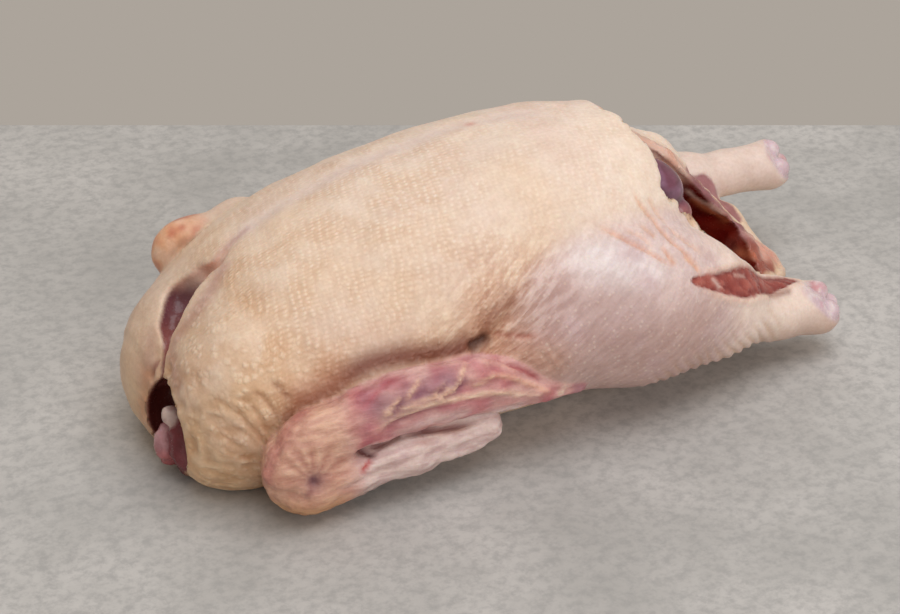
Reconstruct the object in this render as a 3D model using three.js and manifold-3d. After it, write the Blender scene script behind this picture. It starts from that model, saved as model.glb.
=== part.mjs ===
// A whole plucked raw duck lying on its back, breast up.
// Millimetres, +Z up. +X runs from the neck end to the tail and the legs, +Y is the
// bird's far side. Two solids: the carcass with its wings, legs, neck stump and open
// body cavity, and the dark organ that sits in the mouth of the cavity.
//
// The carcass is one smooth field built from anatomical sizes: round sections along the
// trunk, breast lobes, thighs, drumsticks and wings joined to it, and the vent, the body
// cavity and the neck opening cut from it. The surface is then drawn as a net of quads
// over a grid that is finer at the two cut ends than along the plain breast.
import * as THREE from "three";
import Module from "manifold-3d";

// ---------------------------------------------------------------- driving dimensions
const TRUNK_START = -7;            // front face of the trunk
const TRUNK_END = 304;             // tip of the tail
const KEEL_LEAN = 0.06;            // the keel leans this far to +Y for each mm of height
// Sections along the trunk: where, half width, top, bottom, height of the widest point,
// and roundness of the upper half (2 is an ellipse).
const STATION = [ -8,   6,  22,  42,  75,  110, 150, 185, 212,  235, 260, 285, 306];
const HALF_W  = [ 34,  49,  58,  65,  70,   71,  69,  64,  55,   43,  33,  23,  11];
const TOP_Z   = [ 42,  60,  75,  89, 102, 110.5, 116, 118, 116, 105,  82,  52,  24];
const LOW_Z   = [  1,  -1,  -2,  -3,  -4,   -4,  -4,  -4,  -3,    0,   3,   4,   6];
const WIDE_Z  = [ 20,  30,  40,  48,  53,   55,  56,  57,  55,   48,  38,  27,  15];
const ROUND   = [2.0, 2.0, 2.0, 2.0, 2.0, 2.05, 2.1, 2.1, 2.05, 1.95, 1.9, 1.9, 2.0];
const LOW_ROUND = 2.1;             // roundness of the lower half

const WALL_MOUTH = 8;              // flesh left around the cavity at its mouth
const WALL_DEEP = 24;              // flesh around the cavity over the breast
const CAVITY_FRONT = 112;          // where the cavity ends towards the neck
const CAVITY_FLOOR = 15;           // height of the cavity floor
const CAVITY_BACK = [281, 30];     // where along the bird, and how high, it ends towards the tail

const VENT_AT = [219, 0, 105.5];   // a point on the slanting vent cut
const VENT_SLOPE = [0.727, 0.687]; // its outward normal in X and Z

// the hocks: where, how thick, and which way the cut faces
const HOCK_NEAR = [296, -42, 21.5], HOCK_NEAR_R = 12.5, HOCK_NEAR_CUT = [0.62, -0.42, 0.66];
const HOCK_FAR = [326, 51, 45], HOCK_FAR_R = 12.5, HOCK_FAR_CUT = [0.70, -0.42, 0.58];
const CUFF = 6.5;                  // how far the skin reaches past the middle of the hock

// The near wing's outer joint, a flat plate: where along it, its upper edge, its lower edge.
const HAND_X   = [16, 22, 28, 38,   50, 62,   80,   95,   109,  123, 137,  146,  156,  162];
const HAND_TOP = [30, 37, 43, 49.5, 51, 54.5, 57.5, 57.5, 58,   54,  47.5, 43.5, 41.5, 39.5];
const HAND_LOW = [22, 20, 20, 22,   27, 30,   32,   32,   31.5, 30,  29.5, 29.5, 29.5, 29.5];
const HAND_THICK = [[16, 40, 100, 125, 145, 162], [7, 8.5, 8, 6.5, 4.6, 3]];   // half its thickness

const ORGAN_GAP = 0.4;             // clearance between the organ and the flesh it lies in
const GRID_Y = 7.0, GRID_Z = 6.7;  // grid spacing across the bird
const GRID_X_END = 6.3;            // and along it, at the neck and the vent
const GRID_X_MID = 12;            // and along the plain breast
const ORGAN_GRID = 4.1;

// ---------------------------------------------------------------- small maths
const mix = (a, b, h) => b * (1 - h) + a * h;
function smin(a, b, k) {
  const h = Math.min(1, Math.max(0, 0.5 + (0.5 * (b - a)) / k));
  return mix(a, b, h) - k * h * (1 - h);
}
const smax = (a, b, k) => -smin(-a, -b, k);
function ramp(a, b, x) {
  const t = Math.min(1, Math.max(0, (x - a) / (b - a)));
  return t * t * (3 - 2 * t);
}
const rad = (d) => (d * Math.PI) / 180;

// A tilted ellipsoid: yaw about Z, then pitch about its own cross axis (its +X end rises).
function ellipsoid(centre, radii, yaw = 0, pitch = 0) {
  const cy = Math.cos(rad(yaw)), sy = Math.sin(rad(yaw));
  const cp = Math.cos(rad(pitch)), sp = Math.sin(rad(pitch));
  const [rx, ry, rz] = radii;
  return (X, Y, Z) => {
    const dx = X - centre[0], dy = Y - centre[1], dz = Z - centre[2];
    const x1 = cy * dx + sy * dy, y = -sy * dx + cy * dy;
    const x = cp * x1 + sp * dz, z = -sp * x1 + cp * dz;
    const k0 = Math.hypot(x / rx, y / ry, z / rz);
    const k1 = Math.hypot(x / (rx * rx), y / (ry * ry), z / (rz * rz));
    return (k0 * (k0 - 1)) / Math.max(k1, 1e-9);
  };
}

// A limb: a chain of round bars whose radius changes evenly from joint to joint. With
// flat = { along, share } its section is squashed to that share along the direction.
function limb(points, radii, blend, flat = null) {
  const P = points.map((p) => new THREE.Vector3(...p));
  const n = flat ? new THREE.Vector3(...flat.along).normalize() : null;
  return (X, Y, Z) => {
    let d = null;
    for (let i = 0; i + 1 < P.length; i++) {
      const a = P[i], b = P[i + 1];
      const bx = b.x - a.x, by = b.y - a.y, bz = b.z - a.z;
      const px = X - a.x, py = Y - a.y, pz = Z - a.z;
      const t = Math.min(1, Math.max(0, (px * bx + py * by + pz * bz) / (bx * bx + by * by + bz * bz)));
      let vx = px - t * bx, vy = py - t * by, vz = pz - t * bz;
      const r = radii[i] + t * (radii[i + 1] - radii[i]);
      let di;
      if (flat) {
        const w = vx * n.x + vy * n.y + vz * n.z, g = w * (1 / flat.share - 1);
        vx += n.x * g; vy += n.y * g; vz += n.z * g;
        di = (Math.hypot(vx, vy, vz) - r) * (flat.share + (1 - flat.share) * 0.35);
      } else di = Math.hypot(vx, vy, vz) - r;
      d = d === null ? di : blend > 0 ? smin(d, di, blend) : Math.min(d, di);
    }
    return d;
  };
}

// A smooth monotone curve through values at the stations.
function curve(xs, ys) {
  const n = xs.length, h = [], m = [], t = new Array(n).fill(0);
  for (let i = 0; i + 1 < n; i++) { h.push(xs[i + 1] - xs[i]); m.push((ys[i + 1] - ys[i]) / h[i]); }
  t[0] = m[0]; t[n - 1] = m[n - 2];
  for (let i = 1; i < n - 1; i++) {
    if (m[i - 1] * m[i] <= 0) continue;
    const w1 = 2 * h[i] + h[i - 1], w2 = h[i] + 2 * h[i - 1];
    t[i] = (w1 + w2) / (w1 / m[i - 1] + w2 / m[i]);
  }
  return (x) => {
    x = Math.min(xs[n - 1], Math.max(xs[0], x));
    let i = 0;
    while (i < n - 2 && x >= xs[i + 1]) i++;
    const s = (x - xs[i]) / h[i], s2 = s * s, s3 = s2 * s;
    return (2 * s3 - 3 * s2 + 1) * ys[i] + (s3 - 2 * s2 + s) * h[i] * t[i]
      + (-2 * s3 + 3 * s2) * ys[i + 1] + (s3 - s2) * h[i] * t[i + 1];
  };
}

// ---------------------------------------------------------------- the trunk
const halfW = curve(STATION, HALF_W), topZ = curve(STATION, TOP_Z), lowZ = curve(STATION, LOW_Z);
const wideZ = curve(STATION, WIDE_Z), round = curve(STATION, ROUND);

function trunkShare(x, Y, z) {
  const y = Y - KEEL_LEAN * z;
  const xc = Math.min(TRUNK_END - 6, Math.max(TRUNK_START + 3, x));
  const zc = wideZ(xc), up = z > zc;
  const n = up ? round(xc) : LOW_ROUND;
  const v = up ? (z - zc) / (topZ(xc) - zc) : (zc - z) / (zc - lowZ(xc));
  const u = Math.abs(y) / halfW(xc);
  const r = Math.pow(Math.pow(Math.max(u, 1e-6), n) + Math.pow(Math.max(Math.abs(v), 1e-6), n), 1 / n);
  const front = Math.max(0, TRUNK_START + 18 - x) / 19;
  const back = Math.max(0, x - (TRUNK_END - 16)) / 16;
  return Math.sqrt(r * r + Math.pow(front, 2.6) * 0.9 + Math.pow(back, 2.2) * 0.9) - 1;
}
function trunk(x, y, z) {
  const v = trunkShare(x, y, z);
  const g = Math.hypot(trunkShare(x + 1, y, z) - v, trunkShare(x, y + 1, z) - v, trunkShare(x, y, z + 1) - v);
  return v / Math.max(g, 1 / 140);
}
const lobeNear = ellipsoid([30, -30, 36], [34, 30, 38], -6, -8);
const lobeFoot = ellipsoid([18, -31, 15], [18, 15, 14]);   // its lower end by the table
const lobeFar = ellipsoid([23.5, 24, 29], [32.5, 27, 35], 8, -8);
const skin = (x, y, z) => smin(smin(trunk(x, y, z), smin(lobeNear(x, y, z), lobeFoot(x, y, z), 8), 10), lobeFar(x, y, z), 10);

// ---------------------------------------------------------------- legs and wings
const thighNear = ellipsoid([190, -45.5, 53], [60, 29.5, 35.5], 2, -8);
const kneeNear = ellipsoid([156, -54, 48], [34, 22, 25]);
const drumNear = limb([[200, -48, 46], [240, -46, 37], [272, -43, 27], HOCK_NEAR], [30, 20, 12.5, HOCK_NEAR_R], 8);
// a leg is cut square across at the hock, and the knob of the joint stands in the cuff of skin
function hockEnd(centre, facing) {
  const n = new THREE.Vector3(...facing).normalize();
  const knob = ellipsoid([centre[0] + 3.6 * n.x, centre[1] + 3.6 * n.y, centre[2] + 3.6 * n.z], [8, 7.5, 7]);
  return (d, x, y, z) => {
    if (Math.abs(x - centre[0]) > 30 || Math.abs(y - centre[1]) > 30 || Math.abs(z - centre[2]) > 30) return d;
    const past = (x - centre[0]) * n.x + (y - centre[1]) * n.y + (z - centre[2]) * n.z - CUFF;
    return smin(smax(d, past, 1.5), knob(x, y, z), 1);
  };
}
const hockNear = hockEnd(HOCK_NEAR, HOCK_NEAR_CUT), hockFar = hockEnd(HOCK_FAR, HOCK_FAR_CUT);
const legNear = (x, y, z) => hockNear(smin(smin(thighNear(x, y, z), kneeNear(x, y, z), 14), drumNear(x, y, z), 16), x, y, z);
const thighFar = ellipsoid([192, 46, 54], [60, 30, 36], -2, -5);
const kneeFar = ellipsoid([156, 56, 46], [34, 22, 28]);
const drumFar = limb([[205, 48, 52], [250, 49, 49], [279, 50, 46], [301, 51, 46], HOCK_FAR], [30, 22, 13, 9.6, HOCK_FAR_R], 7);
const legFar = (x, y, z) => hockFar(smin(smin(thighFar(x, y, z), kneeFar(x, y, z), 14), drumFar(x, y, z), 16), x, y, z);
// flesh between the far thigh and the tail, which the vent cut leaves bare
const web = limb([[236, 30, 70], [262, 33, 48], [290, 32, 30], [302, 14, 15]], [13, 12, 9, 7], 6);

// the near wing lies folded on the table: outer joint flat against the side, forearm under it
const handTop = curve(HAND_X, HAND_TOP), handLow = curve(HAND_X, HAND_LOW), handThick = curve(...HAND_THICK);
function handShare(x, y, z) {
  const top = handTop(x), low = handLow(x);
  const u = Math.abs(z - (top + low) / 2) / ((top - low) / 2);
  const v = Math.abs(y + 70 - 0.12 * (z - 40)) / handThick(x);
  const r = Math.pow(Math.pow(u, 2.5) + Math.pow(v, 2.5), 0.4);
  return Math.hypot(r, Math.max(0, 26 - x) / 8 + Math.max(0, x - 159) / 4) - 1;
}
function handNear(x, y, z) {
  if (Math.max(Math.abs(x - 90), Math.abs(y + 68), Math.abs(z - 38)) > 95) return 40;
  const v = handShare(x, y, z), h = 0.5;
  const g = Math.hypot(handShare(x + h, y, z) - v, handShare(x, y + h, z) - v, handShare(x, y, z + h) - v) / h;
  return v / Math.max(g, 1 / 25);
}
const armNear = limb([[40, -67, 17], [82, -68, 20.5], [117, -67, 22]], [13, 10.5, 8.5], 6);
const wristNear = ellipsoid([37, -66, 23], [17.5, 13.5, 19.5], 0, 20);
const wingNear = (x, y, z) => smin(smin(wristNear(x, y, z), armNear(x, y, z), 5), handNear(x, y, z), 3.5);
const wristFar = ellipsoid([33, 57, 63.5], [16, 12, 13.5], 0, 12);
const armFar = limb([[38, 56, 64], [58, 58, 67], [88, 66, 54], [125, 68, 40]], [12, 13, 12, 11], 5);
const wingFar = (x, y, z) => smin(wristFar(x, y, z), armFar(x, y, z), 6);

// ---------------------------------------------------------------- the cuts
// The vent: a slanting cut across the belly between the legs, turned towards the near
// side low down and square near the keel, that leaves a short lip of tail. Its near edge
// has a shallow notch below the keel.
function vent(x, y, z) {
  const turn = -0.34 + 0.42 * ramp(78, 100, z);
  const c = (VENT_SLOPE[0] * (x - VENT_AT[0]) + VENT_SLOPE[1] * (z - VENT_AT[2]) + turn * y - 2 * ramp(84, 104, z)) / 1.02;
  const e2 = (x - 305) ** 2 + (y + 4) ** 2 + (z - 10) ** 2;
  const notch = 9.5 * Math.exp(-(((z - 95.5) / 8.5) ** 2)) * ramp(-6, -24, y);
  return c + notch - 7 * Math.exp(-e2 / (2 * 16 * 16));
}
function cavity(x, y, z, s) {
  const wall = WALL_MOUTH + (WALL_DEEP - WALL_MOUTH) * ramp(215, 120, x) + 90 * ramp(CAVITY_FRONT + 18, CAVITY_FRONT - 27, x);
  const open = Math.max(Math.max(s, -70) + wall, CAVITY_FLOOR - z);
  return smax(open, (x - CAVITY_BACK[0]) * 0.85 + (CAVITY_BACK[1] - z) * 0.5, 3);
}
// flesh of the far side that hangs inside the mouth: a thick flap and a ledge under the organ
const farFlap = ellipsoid([240, 29, 70], [25, 12, 26], 0, -43);
const ledge = ellipsoid([240, 17, 53], [15, 15, 8], 0, -30);
// where the neck was drawn out: a pocket between the breast lobes, and a hole under it
// that the neck stump shows in
const neckGroove = limb([[24, 12, 74], [15.5, 12.5, 66], [8.5, 6.5, 59.5]], [5, 8.6, 6.2], 2);
const neckHole = ellipsoid([0, -18, 25], [13, 20, 19.5]);
const stumpBody = ellipsoid([9, -19, 17], [13.5, 16, 17]);
const stumpBone = ellipsoid([-2.5, -13, 13], [6, 6, 10]);
const stumpKnob = ellipsoid([-1.5, -17, 29], [4, 3.8, 4.6]);
const neckStump = (x, y, z) => smin(smin(stumpBody(x, y, z), stumpBone(x, y, z), 1.2), stumpKnob(x, y, z), 1.2);

function carcass(x, y, z) {
  const s = skin(x, y, z), c = vent(x, y, z), cav = cavity(x, y, z, s);
  let t = smin(s, web(x, y, z), 4);
  t = smin(t, legNear(x, y, z), 6);
  t = smin(t, legFar(x, y, z), 6);
  const side = Math.max(y - 46 + 12 * ramp(250, 285, x), -32 - 8 * ramp(40, 58, z) - y);
  t = smax(t, -smax(-c, side, 4), 2);
  let d = smax(t, -Math.max(cav, c - 30), 3);
  d = smin(d, smax(smin(farFlap(x, y, z), ledge(x, y, z), 6), c, 2), 5);
  d = smax(d, -Math.min(neckGroove(x, y, z), neckHole(x, y, z)), 2);
  d = smin(d, neckStump(x, y, z), 2);
  d = smin(d, wingNear(x, y, z), 3);
  d = smin(d, wingFar(x, y, z), 3);
  return d;
}

// the organ: a plum-shaped body with a smaller lobe, wedged in the top of the cavity mouth
const organBody = ellipsoid([237.5, 7, 73], [15.5, 11.5, 11], 0, -43);
const organLobe = ellipsoid([248.5, 2, 60], [7, 6, 6], 0, -43);
const organ = (x, y, z) => smin(organBody(x, y, z), organLobe(x, y, z), 3);

// ---------------------------------------------------------------- surface net
// One vertex for each sheet of surface in a grid cell, one quad for each grid edge that
// the surface crosses. Where two bits of flesh would meet only along a diagonal of the
// grid the gap between them is filled first, so the net is always one closed skin.
function surfaceNet(field, xs, ys, zs, floor = null) {
  const nx = xs.length, ny = ys.length, nz = zs.length;
  const at = (i, j, k) => (i * ny + j) * nz + k;
  const value = new Float64Array(nx * ny * nz);
  for (let i = 0; i < nx; i++) for (let j = 0; j < ny; j++) for (let k = 0; k < nz; k++)
    value[at(i, j, k)] = field(xs[i], ys[j], zs[k]);
  const unit = [[1, 0, 0], [0, 1, 0], [0, 0, 1]];
  for (let changed = true; changed;) {
    changed = false;
    for (let i = 0; i + 1 < nx; i++) for (let j = 0; j + 1 < ny; j++) for (let k = 0; k + 1 < nz; k++)
      for (const [u, v] of [[0, 1], [1, 2], [2, 0]]) {
        const U = unit[u], V = unit[v];
        const a = at(i, j, k), b = at(i + U[0], j + U[1], k + U[2]), c = at(i + V[0], j + V[1], k + V[2]);
        const d = at(i + U[0] + V[0], j + U[1] + V[1], k + U[2] + V[2]);
        const ia = value[a] < 0, ib = value[b] < 0;
        if (ia === value[d] < 0 && ib === value[c] < 0 && ia !== ib) {
          const [p, q] = ia ? [b, c] : [a, d];
          value[value[p] < value[q] ? p : q] = -0.4;
          changed = true;
        }
      }
  }
  // the cell's twelve edges, four along each axis, and which of them lie on each face
  const faces = [];
  for (const s of [0, 1]) {
    faces.push([4 + 2 * s, 5 + 2 * s, 8 + 2 * s, 9 + 2 * s]);
    faces.push([2 * s, 2 * s + 1, 8 + s, 10 + s]);
    faces.push([s, 2 + s, 4 + s, 6 + s]);
  }
  const owner = new Int32Array(nx * ny * nz * 12).fill(-1);
  const verts = [];
  for (let i = 0; i + 1 < nx; i++) for (let j = 0; j + 1 < ny; j++) for (let k = 0; k + 1 < nz; k++) {
    const cross = new Array(12).fill(null);
    for (let e = 0; e < 12; e++) {
      const p = (e >> 1) & 1, q = e & 1, ax = e >> 2;
      const a = ax === 0 ? [i, j + p, k + q] : ax === 1 ? [i + p, j, k + q] : [i + p, j + q, k];
      const b = [a[0] + unit[ax][0], a[1] + unit[ax][1], a[2] + unit[ax][2]];
      const va = value[at(...a)], vb = value[at(...b)];
      if (va < 0 === vb < 0) continue;
      const t = va / (va - vb);
      cross[e] = [xs[a[0]] + t * (xs[b[0]] - xs[a[0]]), ys[a[1]] + t * (ys[b[1]] - ys[a[1]]), zs[a[2]] + t * (zs[b[2]] - zs[a[2]])];
    }
    const sheet = cross.map((_, e) => e);
    const find = (e) => (sheet[e] === e ? e : find(sheet[e]));
    for (const f of faces) {
      const on = f.filter((e) => cross[e]);
      if (on.length === 2) sheet[find(on[0])] = find(on[1]);
    }
    const made = new Map();
    for (let e = 0; e < 12; e++) if (cross[e]) {
      const r = find(e);
      if (!made.has(r)) made.set(r, { id: -1, sum: [0, 0, 0], n: 0 });
      const m = made.get(r);
      for (const c of [0, 1, 2]) m.sum[c] += cross[e][c];
      m.n++;
    }
    for (const m of made.values()) {
      m.id = verts.length / 3;
      const z = m.sum[2] / m.n;
      verts.push(m.sum[0] / m.n, m.sum[1] / m.n, floor !== null && z < floor + 1.2 ? floor : z);
    }
    for (let e = 0; e < 12; e++) if (cross[e]) owner[at(i, j, k) * 12 + e] = made.get(find(e)).id;
  }
  const tris = [];
  const quad = (a, b, c, d, flip) => {
    if (flip) [b, d] = [d, b];
    const p = (m) => new THREE.Vector3(verts[3 * m], verts[3 * m + 1], verts[3 * m + 2]);
    if (p(a).distanceTo(p(c)) <= p(b).distanceTo(p(d))) tris.push(a, b, c, a, c, d);
    else tris.push(a, b, d, b, c, d);
  };
  const own = (i, j, k, e) => owner[at(i, j, k) * 12 + e];
  for (let i = 1; i + 1 < nx; i++) for (let j = 1; j + 1 < ny; j++) for (let k = 1; k + 1 < nz; k++) {
    const inside = value[at(i, j, k)] < 0;
    if (inside !== value[at(i + 1, j, k)] < 0)
      quad(own(i, j - 1, k - 1, 3), own(i, j, k - 1, 1), own(i, j, k, 0), own(i, j - 1, k, 2), !inside);
    if (inside !== value[at(i, j + 1, k)] < 0)
      quad(own(i - 1, j, k - 1, 7), own(i - 1, j, k, 6), own(i, j, k, 4), own(i, j, k - 1, 5), !inside);
    if (inside !== value[at(i, j, k + 1)] < 0)
      quad(own(i - 1, j - 1, k, 11), own(i, j - 1, k, 9), own(i, j, k, 8), own(i - 1, j, k, 10), !inside);
  }
  return { verts, tris };
}
function axis(from, to, step) {
  const out = [from];
  while (out[out.length - 1] < to) out.push(out[out.length - 1] + step(out[out.length - 1]));
  return out;
}

// ---------------------------------------------------------------- the two solids
const xs = axis(-21.5, 350, (x) => {
  const mid = ramp(52, 80, x) * (1 - ramp(186, 208, x));
  return GRID_X_END + (GRID_X_MID - GRID_X_END) * mid;
});
const ys = axis(-88.3, 92, () => GRID_Y), zs = axis(-10.6, 128, () => GRID_Z);
// the table side is pressed flat at z = 0
const duckNet = surfaceNet((x, y, z) => Math.max(carcass(x, y, z), -z), xs, ys, zs, 0);

const organBox = (a, b) => axis(a, b, () => ORGAN_GRID);
const organNet = (grow) => surfaceNet((x, y, z) => organ(x, y, z) - grow, organBox(211, 270), organBox(-22, 28), organBox(39, 97));

const wasm = await Module();
wasm.setup();
const solid = ({ verts, tris }) => new wasm.Manifold(new wasm.Mesh({
  numProp: 3, vertProperties: new Float32Array(verts), triVerts: new Uint32Array(tris) }));
function geometry(man) {
  const m = man.getMesh(), g = new THREE.BufferGeometry();
  g.setAttribute("position", new THREE.BufferAttribute(Float32Array.from(m.vertProperties), 3));
  g.setIndex(new THREE.BufferAttribute(Uint32Array.from(m.triVerts), 1));
  g.computeVertexNormals();
  return g;
}
// the flesh is dented where the organ lies against it
const duckSolid = solid(duckNet).subtract(solid(organNet(ORGAN_GAP)));
const organSolid = solid(organNet(0));

// the natural reference point is the middle of the box on the table
const duckGeometry = geometry(duckSolid), organGeometry = geometry(organSolid);
duckGeometry.computeBoundingBox();
const box = duckGeometry.boundingBox;
const shift = [-(box.min.x + box.max.x) / 2, -(box.min.y + box.max.y) / 2, -box.min.z];

const skinMaterial = new THREE.MeshStandardMaterial({ name: "skin", color: 0xdcb899, roughness: 0.52, metalness: 0 });
const organMaterial = new THREE.MeshStandardMaterial({ name: "organ", color: 0x4a2a35, roughness: 0.25, metalness: 0 });

const group = new THREE.Group();
const duck = new THREE.Mesh(duckGeometry, skinMaterial);
duck.name = "duck";
const giblet = new THREE.Mesh(organGeometry, organMaterial);
giblet.name = "giblet";
for (const m of [duck, giblet]) {
  m.position.set(...shift);
  group.add(m);
}
export default group;
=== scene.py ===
# A whole raw duck on its back: the visible skin, flesh and organ, drawn in millimetres
# from the same form as the frame and then wrinkled, pimpled and coloured. The duck's
# own zero is at its neck end; SHIFT moves it to the frame's origin.
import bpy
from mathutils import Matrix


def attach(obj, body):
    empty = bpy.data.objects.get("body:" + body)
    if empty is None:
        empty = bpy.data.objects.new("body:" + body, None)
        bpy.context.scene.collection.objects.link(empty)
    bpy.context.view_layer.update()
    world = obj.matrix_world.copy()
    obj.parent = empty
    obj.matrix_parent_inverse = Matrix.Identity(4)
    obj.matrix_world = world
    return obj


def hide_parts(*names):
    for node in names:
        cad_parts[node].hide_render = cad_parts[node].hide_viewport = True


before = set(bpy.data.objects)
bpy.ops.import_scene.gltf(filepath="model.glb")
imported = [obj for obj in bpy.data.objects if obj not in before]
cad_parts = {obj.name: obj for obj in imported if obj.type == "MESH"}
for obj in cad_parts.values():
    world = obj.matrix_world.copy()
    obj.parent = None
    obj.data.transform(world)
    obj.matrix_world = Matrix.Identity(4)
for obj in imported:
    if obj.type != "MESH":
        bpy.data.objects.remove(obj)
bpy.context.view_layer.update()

import math
import bpy
import numpy as np
from mathutils import Vector, Matrix

SHIFT = np.array([-162.72331381, -0.02674866, 0.0])
STEP = 1.4          # spacing of the skin's mesh


# ================================================================ small maths (mm)
def smin(a, b, k):
    h = np.clip(0.5 + 0.5 * (b - a) / k, 0, 1)
    return b * (1 - h) + a * h - k * h * (1 - h)
def smax(a, b, k):
    return -smin(-a, -b, k)
def ramp(a, b, x):
    t = np.clip((x - a) / (b - a), 0, 1)
    return t * t * (3 - 2 * t)
def ell(P, c, r, yaw=0.0, pitch=0.0):
    """Distance to a tilted ellipsoid: yaw about Z, then pitch, which lifts its +X end."""
    q = P - np.array(c, float)
    a, b = np.radians(yaw), np.radians(pitch)
    x1 = np.cos(a) * q[:, 0] + np.sin(a) * q[:, 1]
    y = -np.sin(a) * q[:, 0] + np.cos(a) * q[:, 1]
    x = np.cos(b) * x1 + np.sin(b) * q[:, 2]
    z = -np.sin(b) * x1 + np.cos(b) * q[:, 2]
    rx, ry, rz = r
    k0 = np.sqrt((x / rx) ** 2 + (y / ry) ** 2 + (z / rz) ** 2)
    k1 = np.sqrt((x / rx ** 2) ** 2 + (y / ry ** 2) ** 2 + (z / rz ** 2) ** 2)
    return k0 * (k0 - 1) / np.maximum(k1, 1e-9)
def limb(P, pts, rad, k=0.0, along=None, share=1.0):
    """Distance to a chain of round bars, squashed to share of their thickness along a direction."""
    d = None
    n = None if along is None else np.array(along, float) / np.linalg.norm(along)
    for i in range(len(pts) - 1):
        a, b = np.array(pts[i], float), np.array(pts[i + 1], float)
        ab = b - a
        ap = P - a
        t = np.clip(ap @ ab / (ab @ ab), 0, 1)
        v = ap - t[:, None] * ab
        r = rad[i] + t * (rad[i + 1] - rad[i])
        if n is not None:
            v = v + n[None] * ((v @ n) * (1 / share - 1))[:, None]
            di = (np.linalg.norm(v, axis=1) - r) * (share + (1 - share) * 0.35)
        else:
            di = np.linalg.norm(v, axis=1) - r
        d = di if d is None else (smin(d, di, k) if k > 0 else np.minimum(d, di))
    return d
def curve(xs, ys):
    """A smooth monotone curve through values at the stations."""
    xs, ys = np.array(xs, float), np.array(ys, float)
    h = np.diff(xs)
    m = np.diff(ys) / h
    n = len(xs)
    t = np.zeros(n)
    t[0], t[-1] = m[0], m[-1]
    for i in range(1, n - 1):
        if m[i - 1] * m[i] > 0:
            w1, w2 = 2 * h[i] + h[i - 1], h[i] + 2 * h[i - 1]
            t[i] = (w1 + w2) / (w1 / m[i - 1] + w2 / m[i])
    def f(x):
        x = np.clip(x, xs[0], xs[-1])
        i = np.clip(np.searchsorted(xs, x, side="right") - 1, 0, n - 2)
        s = (x - xs[i]) / h[i]
        s2, s3 = s * s, s * s * s
        return (2 * s3 - 3 * s2 + 1) * ys[i] + (s3 - 2 * s2 + s) * h[i] * t[i] + (-2 * s3 + 3 * s2) * ys[i + 1] + (s3 - s2) * h[i] * t[i + 1]
    return f
def lattice(ix, iy, iz, seed):
    """A repeatable number from 0 to 1 for each point of a whole-number lattice."""
    with np.errstate(over="ignore"):
     h = (ix.astype(np.uint32) * np.uint32(374761393) + iy.astype(np.uint32) * np.uint32(668265263)
          + iz.astype(np.uint32) * np.uint32(2147483647) + np.uint32(seed) * np.uint32(1274126177))
     h = (h ^ (h >> np.uint32(13))) * np.uint32(1103515245)
     h = (h ^ (h >> np.uint32(15))) * np.uint32(2246822519)
     h = h ^ (h >> np.uint32(16))
    return (h & np.uint32(0xFFFFFF)).astype(float) / 0xFFFFFF
def noise(P, size, seed=0, octaves=1):
    """Smooth noise from about -1 to 1 with features of the given size (one number, or one for each axis)."""
    out, amp, tot = 0.0, 1.0, 0.0
    S = np.array(size, float) * np.ones(3)
    for o in range(octaves):
        q = P / S + 1000.0 + 17.3 * o
        i = np.floor(q).astype(np.int64)
        f = q - i
        f = f * f * f * (f * (f * 6 - 15) + 10)
        v = 0.0
        for a in (0, 1):
            for b in (0, 1):
                for c in (0, 1):
                    w = (f[:, 0] if a else 1 - f[:, 0]) * (f[:, 1] if b else 1 - f[:, 1]) * (f[:, 2] if c else 1 - f[:, 2])
                    v = v + w * lattice(i[:, 0] + a, i[:, 1] + b, i[:, 2] + c, seed + 31 * o)
        out = out + amp * (2 * v - 1)
        tot += amp
        amp *= 0.5
        S = S * 0.5
    return out / tot * 1.6
# ================================================================ the bird's form
START, END, LEAN = -7.0, 304.0, 0.06
STATION = [-8, 6, 22, 42, 75, 110, 150, 185, 212, 235, 260, 285, 306]
halfw = curve(STATION, [34, 49, 58, 65, 70, 71, 69, 64, 55, 43, 33, 23, 11])
topz = curve(STATION, [42, 60, 75, 89, 102, 110.5, 116, 118, 116, 105, 82, 52, 24])
lowz = curve(STATION, [1, -1, -2, -3, -4, -4, -4, -4, -3, 0, 3, 4, 6])
widez = curve(STATION, [20, 30, 40, 48, 53, 55, 56, 57, 55, 48, 38, 27, 15])
rnd = curve(STATION, [2, 2, 2, 2, 2, 2.05, 2.1, 2.1, 2.05, 1.95, 1.9, 1.9, 2.0])
def trunk_share(P):
    x, z = P[:, 0], P[:, 2]
    y = P[:, 1] - LEAN * z
    xc = np.clip(x, START + 3, END - 6)
    zc = widez(xc)
    up = z > zc
    n = np.where(up, rnd(xc), 2.1)
    v = np.where(up, (z - zc) / (topz(xc) - zc), (zc - z) / (zc - lowz(xc)))
    u = np.abs(y) / halfw(xc)
    r = (np.maximum(u, 1e-6) ** n + np.maximum(np.abs(v), 1e-6) ** n) ** (1 / n)
    front = np.maximum(0, START + 18 - x) / 19
    back = np.maximum(0, x - (END - 16)) / 16
    return np.sqrt(r * r + front ** 2.6 * 0.9 + back ** 2.2 * 0.9) - 1
def trunk(P):
    v = trunk_share(P)
    g = np.sqrt(sum((trunk_share(P + e) - v) ** 2 for e in np.eye(3)))
    return v / np.maximum(g, 1 / 140)
def skin_of(P):
    """The trunk and the two breast lobes, before any cut."""
    near = smin(ell(P, (30, -30, 36), (34, 30, 38), -6, -8), ell(P, (18, -31, 15), (18, 15, 14)), 8)
    t = smin(trunk(P), near, 10)
    return smin(t, ell(P, (23.5, 24, 29), (32.5, 27, 35), 8, -8), 10)
HOCK = {-1: ((296, -42, 21.5), 12.5, (0.62, -0.42, 0.66)), 1: ((326, 51, 45), 12.5, (0.70, -0.42, 0.58))}   # where, size, which way the cut faces
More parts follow.
